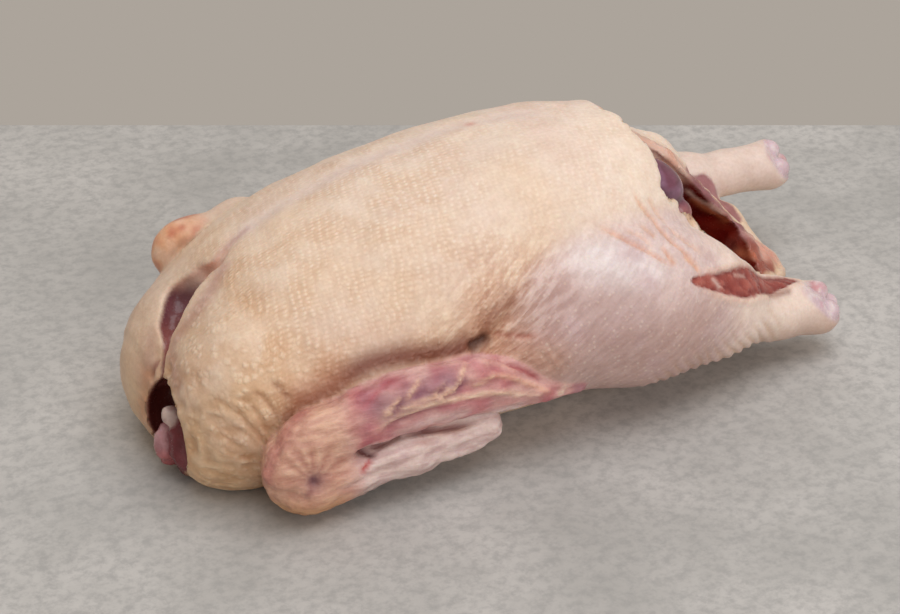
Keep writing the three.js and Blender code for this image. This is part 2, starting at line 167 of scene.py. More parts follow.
def leg_of(P, side):
    if side < 0:
        thigh = smin(ell(P, (190, -45.5, 53), (60, 29.5, 35.5), 2, -8), ell(P, (156, -54, 48), (34, 22, 25)), 14)
        drum = limb(P, [(200, -48, 46), (240, -46, 37), (272, -43, 27), HOCK[-1][0]], [30, 20, 12.5, 12.5], 8)
    else:
        thigh = smin(ell(P, (192, 46, 54), (60, 30, 36), -2, -5), ell(P, (156, 56, 46), (34, 22, 28)), 14)
        drum = limb(P, [(205, 48, 52), (250, 49, 49), (279, 50, 46), (301, 51, 46), HOCK[1][0]], [30, 22, 13, 9.6, 12.5], 7)
    return smin(thigh, drum, 16)
def web_of(P):
    return limb(P, [(236, 30, 70), (262, 33, 48), (290, 32, 30), (302, 14, 15)], [13, 12, 9, 7], 6)
WING_X = [16, 22, 28, 38, 50, 62, 80, 95, 109, 123, 137, 146, 156, 162]
wing_top = curve(WING_X, [30, 37, 43, 49.5, 51, 54.5, 57.5, 57.5, 58, 54, 47.5, 43.5, 41.5, 39.5])
wing_low = curve(WING_X, [22, 20, 20, 22, 27, 30, 32, 32, 31.5, 30, 29.5, 29.5, 29.5, 29.5])
wing_half = curve([16, 40, 100, 125, 145, 162], [7, 8.5, 8, 6.5, 4.6, 3.0])
def wing_share(P):
    x, y, z = P.T
    top, low = wing_top(x), wing_low(x)
    u = (z - (top + low) / 2) / ((top - low) / 2)
    v = (y + 70.0 - 0.12 * (z - 40)) / wing_half(x)
    r = (np.abs(u) ** 2.5 + np.abs(v) ** 2.5) ** 0.4
    e = np.maximum(0, 26 - x) / 8.0 + np.maximum(0, x - 159) / 4.0
    return np.sqrt(r * r + e * e) - 1
def wing_near(P):
    """The outer joint is a flat plate against the side, with the rounder forearm under it."""
    out = ell(P, (37, -66, 23), (17.5, 13.5, 19.5), 0, 20)
    out = smin(out, limb(P, [(40, -67, 17), (82, -68, 20.5), (117, -67, 22)], [13, 10.5, 8.5], 6), 5)
    far = np.abs(P - (90, -68, 38)).max(1) > 95
    m = ~far
    plate = np.full(len(P), 40.0)
    if m.any():
        Q = P[m]
        v = wing_share(Q)
        g = np.sqrt(sum((wing_share(Q + e) - v) ** 2 for e in np.eye(3) * 0.5)) / 0.5
        plate[m] = v / np.maximum(g, 1 / 25)
    return smin(out, plate, 3.5)
def wing_far(P):
    arm = limb(P, [(38, 56, 64), (58, 58, 67), (88, 66, 54), (125, 68, 40)], [12, 13, 12, 11], 5)
    return smin(ell(P, (33, 57, 63.5), (16, 12, 13.5), 0, 12), arm, 6)
def vent_of(P):
    """Distance past the slanting vent cut."""
    z = P[:, 2]
    turn = -0.34 + 0.42 * ramp(78, 100, z)
    c = (0.727 * (P[:, 0] - 219) + 0.687 * (z - 105.5) + turn * P[:, 1] - 2 * ramp(84, 104, z)) / 1.02
    e2 = ((P - np.array([305.0, -4.0, 10.0])) ** 2).sum(1)
    c = c + 9.5 * np.exp(-((z - 95.5) / 8.5) ** 2) * ramp(-6, -24, P[:, 1])      # a notch in the near edge
    return c - 7 * np.exp(-e2 / (2 * 16.0 ** 2))
def only(m, P, f):
    """f worked out only where m, and 0 elsewhere."""
    out = np.zeros(len(P))
    if m.any():
        out[m] = f(P[m])
    return out
def hocks(d, P, side):
    """The leg cut at the hock: a cuff of skin round the knobs of the joint."""
    c, r, n = HOCK[side]
    c, n = np.array(c, float), np.array(n)
    n = n / np.linalg.norm(n)
    m = (np.abs(P - c) < 30).all(1)
    if not m.any():
        return d
    Q = P[m]
    cuff = smax(d[m], (Q - c) @ n - 6.5 - 0.8 * noise(Q, 6, 8), 1.5)
    u = np.cross(n, (0.0, 0.0, 1.0))
    u = u / np.linalg.norm(u)                          # across the cut
    w = np.cross(u, n)                                 # up the cut
    o = c + n * 4.2
    k = smin(ell(Q, o + w * 5.2 - u * 2.5, (5.8, 5.0, 5.0)), ell(Q, o - w * 3.0 + u * 3.4, (6.2, 5.4, 5.2)), 1.0)
    k = smin(k, ell(Q, o - w * 3.6 - u * 5.2, (4.6, 4.4, 4.2)), 1.2)
    out = d.copy()
    out[m] = smin(cuff, k, 1.0)
    return out
def parts(P):
    """The fields that the shape and its colours are made from."""
    s = skin_of(P)
    x, y, z = P.T
    c = vent_of(P)
    c = c + only(np.abs(c) < 9, P, lambda Q: (0.9 * noise(Q, 9, 3, 2) + 0.6 * noise(Q, 3.4, 4)) * (1 - 0.6 * ramp(0, 14, Q[:, 1])))
    wall = 3.6 + 5 * ramp(-12, 26, y) + 18 * ramp(208, 118, x) + 90 * ramp(130, 85, x)
    cav = np.maximum(s, -70) + wall
    cav = cav + only(np.abs(cav) < 9, P, lambda Q: 1.5 * noise(Q, 15, 5, 2))
    cav = smax(np.maximum(cav, 15 - z), (x - 281) * 0.85 + (30 - z) * 0.5, 3)    # solid flesh below the vent
    ln, lf = hocks(leg_of(P, -1), P, -1), hocks(leg_of(P, 1), P, 1)
    t = smin(s, web_of(P), 4)
    t = smin(smin(t, ln, 6), lf, 6)
    return dict(s=s, c=c, cav=cav, ln=ln, lf=lf, t=t, wn=wing_near(P), wf=wing_far(P))
MEAT = [(214, -70, 69), (231, -66.5, 62), (247, -60, 55.5), (268, -47, 44.5), (283, -40, 38)]   # bared flesh by the near drumstick
MEAT_R = [1.5, 5.0, 7.0, 5.5, 3.0]
FAR_MEAT = [(256, 19, 71), (268, 25, 62), (281, 33, 52), (289, 33, 44), (293, 24, 37)]  # and on the far side of the vent
FAR_MEAT_R = [2, 6, 7, 6, 4]
def groove_of(P):
    g = limb(P, [(46, 17, 93.6), (37.5, 12.5, 88.8), (31, 9, 80.6), (24, 12, 74), (15.5, 12.5, 66), (8.5, 6.5, 59.5), (3.5, -0.5, 53), (0, -5.5, 46.5), (-1, -9.5, 41)], [0.8, 1.2, 2.0, 5.0, 8.6, 6.2, 2.0, 1.3, 1.4], 2)
    return smin(g, ell(P, (0, -18, 25), (13, 20, 19.5)), 2)
def stump_of(P):
    b = smin(ell(P, (9, -19, 17), (13.5, 16, 17)), ell(P, (-2.5, -13, 13), (6, 6, 10)), 1.2)
    return smin(b, ell(P, (-1.5, -17, 29), (4, 3.8, 4.6)), 1.2)
def flap_of(P):
    return smin(ell(P, (240, 29, 70), (25, 12, 26), 0, -43), ell(P, (240, 17, 53), (15, 15, 8), 0, -30), 6)
def carcass(P, q=None):
    q = parts(P) if q is None else q
    x, y, z = P.T
    side = np.maximum(y - 46 + 12 * ramp(250, 285, x), -32 - 8 * ramp(40, 58, z) - y)
    t = smax(q["t"], -smax(-q["c"], side, 4), 1.2)
    d = smax(t, -np.maximum(q["cav"], q["c"] - 30), 1.6)
    d = smin(d, smax(flap_of(P), q["c"], 2), 5)
    d = smax(d, -groove_of(P), 2.0)
    d = smin(d, stump_of(P), 1)
    d = smin(d, q["wn"], 2.5)
    d = smin(d, q["wf"], 2.5)
    return smax(d, -z, 1.5)

# ================================================================ from form to mesh
def grid(f, lo, hi, h):
    """Values of f on an even grid, worked out only near its zero."""
    lo, hi = np.array(lo, float), np.array(hi, float)
    n = np.ceil((hi - lo) / h).astype(int) + 1
    ch = 4
    cx = [np.append(lo[i] + h * np.arange(n[i])[::ch], lo[i] + h * (np.arange(n[i])[::ch][-1] + ch)) for i in range(3)]
    G = np.stack(np.meshgrid(*cx, indexing="ij"), -1).reshape(-1, 3)
    D = f(G).reshape([len(c) for c in cx])
    cell = np.zeros([len(c) - 1 for c in cx], bool)
    mn = np.full(cell.shape, 1e9)
    mx = -mn
    a, b, c = cell.shape
    for i in (0, 1):
        for j in (0, 1):
            for k in (0, 1):
                s = D[i:i + a, j:j + b, k:k + c]
                cell |= np.abs(s) < h * ch * 1.5
                mn, mx = np.minimum(mn, s), np.maximum(mx, s)
    cell |= (mn < 0) & (mx > 0)
    def big(A):
        return np.repeat(np.repeat(np.repeat(A, ch, 0), ch, 1), ch, 2)[:n[0], :n[1], :n[2]]
    out, M = big(D[:-1, :-1, :-1]).copy(), big(cell)
    P = lo + np.argwhere(M) * h
    v = np.empty(len(P))
    for s in range(0, len(P), 300000):
        v[s:s + 300000] = f(P[s:s + 300000])
    out[M] = v
    return out, lo
def surface_net(D, lo, h):
    """A net of quads where D changes sign."""
    S = D < 0
    nx, ny, nz = [k - 1 for k in D.shape]
    cnt = np.zeros((nx, ny, nz), int)
    for i in (0, 1):
        for j in (0, 1):
            for k in (0, 1):
                cnt += S[i:i + nx, j:j + ny, k:k + nz]
    act = (cnt > 0) & (cnt < 8)
    idx = -np.ones(act.shape, int)
    ids = np.argwhere(act)
    idx[act] = np.arange(len(ids))
    acc, w = np.zeros((len(ids), 3)), np.zeros(len(ids))
    I, J, K = ids.T
    corner = [(0, 0, 0), (1, 0, 0), (0, 1, 0), (1, 1, 0), (0, 0, 1), (1, 0, 1), (0, 1, 1), (1, 1, 1)]
    val = [D[I + c[0], J + c[1], K + c[2]] for c in corner]
    for a, b in [(0, 1), (2, 3), (4, 5), (6, 7), (0, 2), (1, 3), (4, 6), (5, 7), (0, 4), (1, 5), (2, 6), (3, 7)]:
        va, vb = val[a], val[b]
        s = (va < 0) != (vb < 0)
        t = np.where(s, va / np.where(s, va - vb, 1), 0)
        p = np.array(corner[a], float) + t[:, None] * (np.array(corner[b], float) - np.array(corner[a], float))
        acc[s] += p[s]
        w[s] += 1
    V = lo + h * (ids + acc / w[:, None])
    F = []
    for ax in range(3):
        a0 = tuple(slice(None, -1) if a == ax else slice(None) for a in range(3))
        a1 = tuple(slice(1, None) if a == ax else slice(None) for a in range(3))
        s0, s1 = S[a0], S[a1]
        E = np.argwhere(s0 != s1)
        u, v = [(1, 2), (2, 0), (0, 1)][ax]
        E = E[(E[:, u] > 0) & (E[:, v] > 0) & (E[:, u] < D.shape[u] - 1) & (E[:, v] < D.shape[v] - 1)]
        def at(du, dv):
            Q = E.copy()
            Q[:, u] += du
            Q[:, v] += dv
            return idx[Q[:, 0], Q[:, 1], Q[:, 2]]
        q = np.stack([at(-1, -1), at(0, -1), at(0, 0), at(-1, 0)], 1)
        inside = s0[E[:, 0], E[:, 1], E[:, 2]]
        q[~inside] = q[~inside][:, ::-1]
        F.append(q)
    return V, np.concatenate(F)
def slope(f, P, e=0.35):
    """f at P and its unit gradient."""
    v = f(P)
    g = np.stack([(f(P + d) - f(P - d)) / (2 * e) for d in np.eye(3) * e], 1)
    n = np.linalg.norm(g, axis=1, keepdims=True)
    return v, g / np.maximum(n, 1e-6), np.maximum(n[:, 0], 0.3)
def neighbours_mean(V, F):
    acc, cnt = np.zeros_like(V), np.zeros(len(V))
    for a, b in ((0, 1), (1, 2), (2, 3), (3, 0)):
        np.add.at(acc, F[:, a], V[F[:, b]])
        np.add.at(acc, F[:, b], V[F[:, a]])
        np.add.at(cnt, F[:, a], 1)
        np.add.at(cnt, F[:, b], 1)
    return acc / cnt[:, None]
def skin_mesh(f, lo, hi, h, rounds=2):
    """A net on f's zero with even quads, its points and their outward directions."""
    D, lo = grid(f, lo, hi, h)
    V, F = surface_net(D, lo, h)
    for r in range(rounds):
        v, g, m = slope(f, V)
        V = V - g * np.clip(v / m, -0.6 * h, 0.6 * h)[:, None]
        if r + 1 < rounds:
            move = neighbours_mean(V, F) - V
            move -= g * (move * g).sum(1, keepdims=True)
            V = V + 0.5 * move
    v, g, m = slope(f, V)
    return V, F, g
def face_normals(V, F):
    n = np.cross(V[F[:, 2]] - V[F[:, 0]], V[F[:, 3]] - V[F[:, 1]])
    out = np.zeros_like(V)
    for a in range(4):
        np.add.at(out, F[:, a], n)
    return out / np.maximum(np.linalg.norm(out, axis=1, keepdims=True), 1e-9)
def line_dist(P, pts):
    """Distance to a line of points, and how far along it from 0 to 1."""
    pts = np.array(pts, float)
    best, along = np.full(len(P), 1e9), np.zeros(len(P))
    seg = np.linalg.norm(np.diff(pts, axis=0), axis=1)
    tot, run = seg.sum(), 0.0
    for i in range(len(pts) - 1):
        ab = pts[i + 1] - pts[i]
        t = np.clip(((P - pts[i]) @ ab) / (ab @ ab), 0, 1)
        d = np.linalg.norm(P - pts[i] - t[:, None] * ab, axis=1)
        near = d < best
        best = np.where(near, d, best)
        along = np.where(near, (run + t * seg[i]) / tot, along)
        run += seg[i]
    return best, along
def stroke(P, pts, width, taper=0.25):
    """1 on a line of points, falling off over the width, and fading at its ends."""
    lo, hi = np.min(pts, 0) - 4 * width, np.max(pts, 0) + 4 * width
    m = ((P > lo) & (P < hi)).all(1)
    out = np.zeros(len(P))
    if m.any():
        d, t = line_dist(P[m], pts)
        out[m] = np.exp(-(d / width) ** 2) * (ramp(-0.01, taper, t) * ramp(1.01, 1 - taper, t) if taper > 0 else 1)
    return out
def blob(P, c, r, soft=0.35, yaw=0, pitch=0):
    """1 inside an ellipsoid and 0 outside, with a soft edge."""
    d = ell(P, c, r, yaw, pitch)
    w = soft * min(r)
    return ramp(w, -w, d)

# ================================================================ the duck's skin
def rgb(r, g, b):
    """A display colour of 0 to 255 as the linear numbers a shader takes."""
    c = np.array([r, g, b], float) / 255
    return np.where(c <= 0.04045, c / 12.92, ((c + 0.055) / 1.055) ** 2.4)
V, F, N = skin_mesh(carcass, (-15, -92, -4), (346, 96, 124), STEP)
q = parts(V)
x, y, z = V.T
depth = np.maximum(-q["t"], 0)                       # below the uncut skin
wing = ramp(1.1, 0.3, q["wn"])
wing2 = ramp(1.1, 0.3, q["wf"])
bare = (1 - wing) * (1 - wing2)
flesh = ramp(0.9, 2.2, depth) * bare                 # flesh, not skin
neck = ramp(0.5, 3.2, depth) * bare * ramp(70, 50, x)
bone = ramp(1.0, 0.3, np.abs(stump_of(V))) * ramp(40, 30, x) * bare
cut = flesh * ramp(2.5, 0.8, np.abs(q["c"])) * ramp(80, 100, x)
cavity = flesh * ramp(1.0, 2.2, -q["c"]) * ramp(80, 100, x)
flap = flesh * ramp(2.0, 0.5, np.abs(flap_of(V))) * ramp(80, 100, x)
near_leg = ramp(10, 0, q["ln"]) * bare
far_leg = ramp(10, 0, q["lf"]) * bare
meat_d = limb(V, MEAT, MEAT_R) + 0.4 * noise(V, 6, 21)
meat = ramp(0.6, -0.6, meat_d) * ramp(6, 3, depth)
fmeat_d = limb(V, FAR_MEAT, FAR_MEAT_R) + 0.8 * noise(V, 5, 22)
fmeat = ramp(0.6, -0.6, fmeat_d)
foot = {s: np.linalg.norm(V - np.array(HOCK[s][0]), axis=1) for s in (-1, 1)}
hock_near = ramp(4.6, 6.4, (V - np.array(HOCK[-1][0])) @ np.array(HOCK[-1][2])) * ramp(30, 24, foot[-1])
hock_far = ramp(4.6, 6.4, (V - np.array(HOCK[1][0])) @ np.array(HOCK[1][2])) * ramp(30, 24, foot[1])
skin = (1 - flesh) * (1 - meat) * (1 - np.maximum(hock_near, hock_far)) * (1 - bone)

# ---------------------------------------------------------------- colours
col = np.tile(rgb(234, 211, 190), (len(V), 1))
def paint(m, c, amount=1.0):
    global col
    m = np.clip(m * amount, 0, 1)[:, None]
    col = col * (1 - m) + rgb(*c) * m
n28, n12, n6, n3 = noise(V, 30, 41, 2), noise(V, 12, 42, 2), noise(V, 6, 43), noise(V, 2.6, 44)
# the skin's slow changes of colour along the body
paint(ramp(70, 115, z), (238, 221, 207), 0.75)                          # paler and pinker on top
paint(ramp(150, 215, x) * ramp(30, 80, z), (246, 229, 215), 0.85)       # belly
paint(ramp(60, -5, x) * ramp(75, 25, z), (228, 199, 167), 0.8)         # yellower at the neck end
paint(ramp(60, 10, z) * ramp(90, 20, x), (222, 190, 154), 0.5)
# darker low on the side, under the wing: painted shade
paint(ramp(45, 5, z) * ramp(60, 160, x), (212, 182, 158), 0.5)
paint(np.clip(n28, 0, 1), (236, 206, 172), 0.35)
paint(np.clip(-n28, 0, 1), (226, 196, 184), 0.35)
keel = stroke(V, [(30, 11, 79), (46, 16, 90), (71, 17, 100), (96, 20, 107), (148, 22, 115), (190, 12, 118)], 5.5, 0.1)
paint(keel, (226, 206, 200), 0.55)
# thighs and drumsticks: lavender over the muscle, pale towards the hock
thigh_n = near_leg * ramp(118, 150, x) * ramp(262, 215, x) * ramp(100, 84, z)
paint(thigh_n, (219, 196, 194), 0.85)
# the near thigh darker towards its underside: painted shade
paint(thigh_n * ramp(74, 50, z), (190, 158, 150), 0.8)
paint(thigh_n * ramp(205, 175, x) * ramp(30, 70, z) * ramp(88, 70, z), (178, 146, 142), 0.55)
# a painted highlight on the top of the near thigh
paint(blob(V, (178, -64, 84), (26, 12, 9), 0.8, 0, -20) * near_leg, (238, 230, 230), 0.7)
paint(near_leg * ramp(215, 250, x), (244, 224, 212), 0.9)
# the drumstick darker on its underside: painted shade
paint(near_leg * ramp(215, 250, x) * ramp(34, 16, z), (198, 166, 150), 0.7)
paint(far_leg * ramp(150, 230, x), (230, 209, 200), 0.8)
paint(far_leg * ramp(46, 30, z) * ramp(240, 290, x), (214, 180, 146), 0.7)
paint(thigh_n * np.clip(n12, 0, 1), (205, 176, 178), 0.5)
paint(stroke(V, [(120, -67, 57), (132, -70, 55), (143, -74, 50)], 9, 0), (205, 160, 140), 0.7)
# creases of the abdomen and the groin, orange in their depth; each crease's colour also darkens its groove as painted
# shade
CREASE = [
    ([(177, -48, 93.5), (183, -51.5, 90), (188, -55.5, 87), (193, -59.5, 84.5), (198, -63.5, 81.5), (202.5, -66.5, 78), (206, -68, 76)], 1.2, -1.0, (224, 158, 116), 0.55),
    ([(200, -35, 102), (201, -38.5, 97.5), (202.5, -41.5, 94), (206.5, -45, 88.5), (207.5, -52.5, 85), (209.5, -58, 82.5), (215, -63.5, 76), (218, -66, 72), (219, -68.5, 68)], 1.1, -1.0, (226, 164, 120), 0.6),
    ([(199, -48.5, 89), (200.5, -52.5, 86.5), (202, -57, 85)], 1.0, -0.6, (226, 166, 120), 0.5),
    ([(203, -59, 83.5), (204, -63.5, 80.5), (206, -68, 76)], 1.0, -0.7, (226, 160, 112), 0.6),
    ([(211, -62.5, 78.5), (213.5, -64.5, 76), (216, -66, 73.5), (218, -68, 69.5)], 1.0, -0.7, (226, 160, 112), 0.6),
    ([(212, -45.5, 85.5), (214, -52.5, 82.5), (218.5, -57.5, 79), (224, -60.5, 74)], 1.1, -0.6, (232, 186, 150), 0.45),
    ([(207, -38, 96), (210, -41.5, 89.5), (213.5, -47, 84.5)], 1.1, -0.5, (232, 182, 146), 0.45),
    ([(199, -61.5, 83), (195.5, -54.5, 87), (189, -50.5, 90)], 1.0, -0.5, (232, 182, 146), 0.4),
    # between the breast and the thigh; the first line's near-black brown is painted shadow in the gap by the wing's top
    ([(109, -67, 60.5), (113.5, -67, 61.5), (118, -66.5, 63), (120.5, -66, 65)], 2.8, -3.2, (84, 46, 36), 0.9),
    ([(120.5, -66, 65), (125.5, -65, 69), (129.5, -63.5, 71.5), (133.5, -62.5, 74.5), (137.5, -61, 78), (141, -59.5, 81), (144.5, -57.5, 83.5)], 1.0, -0.8, (176, 128, 106), 0.5),
    ([(119, -66.5, 62), (123.5, -66, 65), (128.5, -64.5, 69), (132.5, -63.5, 72)], 0.9, -0.7, (180, 134, 112), 0.5),
    ([(107.5, -66.5, 62.5), (111.5, -65.5, 66.5), (115.5, -64.5, 70), (124.5, -61.5, 77), (131.5, -59, 81), (136, -57.5, 84)], 0.9, -0.7, (180, 134, 112), 0.5),
    ([(111, -65, 69), (115.5, -63.5, 72.5), (119.5, -62, 76), (128, -59.5, 80.5), (133.5, -57.5, 84)], 0.9, -0.6, (186, 142, 122), 0.45),
    ([(113, -66.5, 64.5), (118, -65, 68.5), (122.5, -63.5, 72.5), (128, -62, 76), (133, -60, 79.5), (139, -57, 84)], 0.9, -0.7, (178, 130, 110), 0.5),
    ([(113, -63, 73.5), (119, -61, 78), (125.5, -58.5, 81.5)], 0.9, -0.6, (186, 140, 120), 0.45),
    ([(120.5, -66, 64.5), (129, -67, 62), (136, -69.5, 61), (141, -71.5, 61.5)], 1.0, -0.8, (176, 96, 76), 0.6),
    ([(141.5, -72, 61), (143.5, -73.5, 58), (145, -75, 55), (150, -76.5, 47.5), (154, -75.5, 40)], 1.2, -0.6, (190, 158, 142), 0.35),
    ([(138, -71.5, 57), (141.5, -74, 53), (145, -75.5, 48), (149, -75.5, 42.5)], 1.2, -0.5, (190, 158, 142), 0.35),
    # the lobe by the neck
    ([(11, -51, 52), (13, -54, 50), (15, -56, 47.5), (16.5, -57.5, 45), (18.5, -59, 42), (20.5, -60, 39), (22.5, -60.5, 35.5), (22, -71, 36.5)], 1.1, -0.9, (178, 132, 94), 0.5),
    ([(3.5, -49.5, 40), (7.5, -53.5, 37.5), (12.5, -56.5, 34), (17.5, -58.5, 31)], 1.1, -0.6, (190, 148, 108), 0.4),
    ([(13.5, -51.5, 54.5), (16, -54, 53.5), (19, -56.5, 51.5), (21, -58, 49), (22.5, -59.5, 45.5), (25, -62, 38)], 1.1, -0.7, (184, 140, 102), 0.4),
    ([(6.5, -50, 46.5), (12.5, -56, 42), (18.5, -59, 37), (21.5, -61, 31.5)], 1.1, -0.6, (190, 146, 106), 0.4),
    ([(19.5, -53.5, 57.5), (24, -57, 55), (27, -60, 50), (29, -61.5, 44.5)], 1.1, -0.9, (174, 124, 92), 0.5),
    ([(28.5, -55.5, 60), (32, -58.5, 56.5), (34.5, -61, 51.5)], 1.2, -1.0, (166, 112, 84), 0.55),
    ([(4.5, -44, 53), (9, -50, 52), (13.5, -55, 48), (18, -58.5, 42.5)], 1.1, -0.5, (192, 150, 112), 0.35),
    ([(7.5, -53.5, 31.5), (13.5, -56.5, 28), (20, -58, 24)], 1.1, -0.5, (192, 150, 112), 0.35),
    ([(26.5, 46.5, 69.5), (33.5, 45.5, 74.5), (42, 47, 79)], 1.2, -0.9, (172, 132, 110), 0.55),
    ([(20.5, 49.5, 63.5), (26.5, 48, 70.5), (32.5, 48.5, 74.5)], 1.1, -0.7, (182, 142, 120), 0.45),
    ([(1, -2, 48.5), (-2.5, -1, 44.5), (-5, 0, 39)], 1.3, -0.9, (150, 84, 78), 0.7),
]
# where the wing lies against the side: red-brown, and dark with painted shade in the gutter above the wing
paint(stroke(V, [(21.5, -68.5, 35.5), (25, -68.5, 40.5), (30, -66.5, 44), (34.5, -62.5, 46), (38.5, -62, 50.5), (43, -62.5, 51.5), (47.5, -63, 53), (52, -63, 55.5), (57, -63.5, 58.5), (63, -64, 61), (68, -64, 62.5), (74.5, -64.5, 63), (80.5, -65, 63), (89, -66, 62), (97.5, -66.5, 61.5), (104.5, -67, 61), (109, -67, 62)], 5.6, 0) * (1 - wing), (126, 66, 52), 0.9)
paint(stroke(V, [(39, -60.5, 55), (51.5, -62, 59)], 7.0, 0) * (1 - wing), (204, 150, 124), 0.5)
# the shaded fold in front of the thigh, and the purple lining at the upper end of the slit
paint(stroke(V, [(114.5, -66.5, 63), (119.5, -65.5, 67.5), (125, -64, 72), (131, -62, 75), (135.5, -60.5, 78.5)], 4.2, 0.2), (150, 104, 84), 0.65)
paint(stroke(V, [(30, 12.5, 77.5), (25.5, 16.5, 70), (20.5, 19, 62.5), (14.5, 16, 58)], 4.6, 0.2), (122, 70, 76), 0.8)
# a few small red and orange marks
for p, r, c in zip([(152, 20, 115.5)], (2.2, 2.4, 1.8, 2.6, 5.0), ((214, 124, 110), (216, 136, 120), (214, 130, 114), (206, 114, 96), (230, 180, 146))):
    paint(np.exp(-((V - np.array(p)) ** 2).sum(1) / r ** 2), c, 0.5)

# ---- the near wing: pink-red hand with cream tendons, pale forearm, cream wrist
paint(wing, (208, 158, 154))
paint(wing * np.clip(n12 * 1.6, 0, 1), (192, 112, 120), 0.8)
paint(wing * np.clip(n6 * 1.6, 0, 1), (176, 96, 108), 0.5)
paint(wing * np.clip(-n12 * 1.4, 0, 1), (222, 186, 178), 0.6)
arm_m = wing * ramp(34.5, 30, z - 0.03 * (x - 60)) * ramp(48, 62, x) * ramp(136, 126, x)
paint(arm_m, (224, 205, 200), 0.95)
# the forearm darker towards its underside: painted shade
paint(arm_m * ramp(19, 8, z), (196, 176, 170), 0.7)
wrist_m = wing * ramp(62, 44, x)
paint(wrist_m, (220, 180, 154), 0.85)
paint(wrist_m * ramp(18, 8, z), (214, 168, 118), 0.7)
paint(stroke(V, [(37.5, -66, 49), (28, -70.5, 43), (21, -72, 34), (18.5, -73.5, 26.5)], 4.0, 0) * wing, (196, 128, 122), 0.7)
for p, r in zip([(65, -76, 50.5), (74.5, -77, 48.5), (84, -76.5, 50), (93, -76, 51), (98.5, -76, 51.5)], (5, 8, 7, 7, 4)):
    paint(blob(V, p, (r, 6, 5.5), 0.9, 0, 25) * wing, (160, 122, 132), 0.65)
paint(stroke(V, [(67.5, -77.5, 35), (79.5, -77.5, 36.5), (88, -77.5, 38), (99, -77.5, 38.5), (110.5, -77, 38)], 2.8, 0.2) * wing, (206, 176, 172), 0.75)
paint(stroke(V, [(79, -78, 39), (88, -77.5, 37.5), (97, -77.5, 37), (107, -77, 36.5)], 1.8, 0.2) * wing, (222, 192, 190), 0.7)
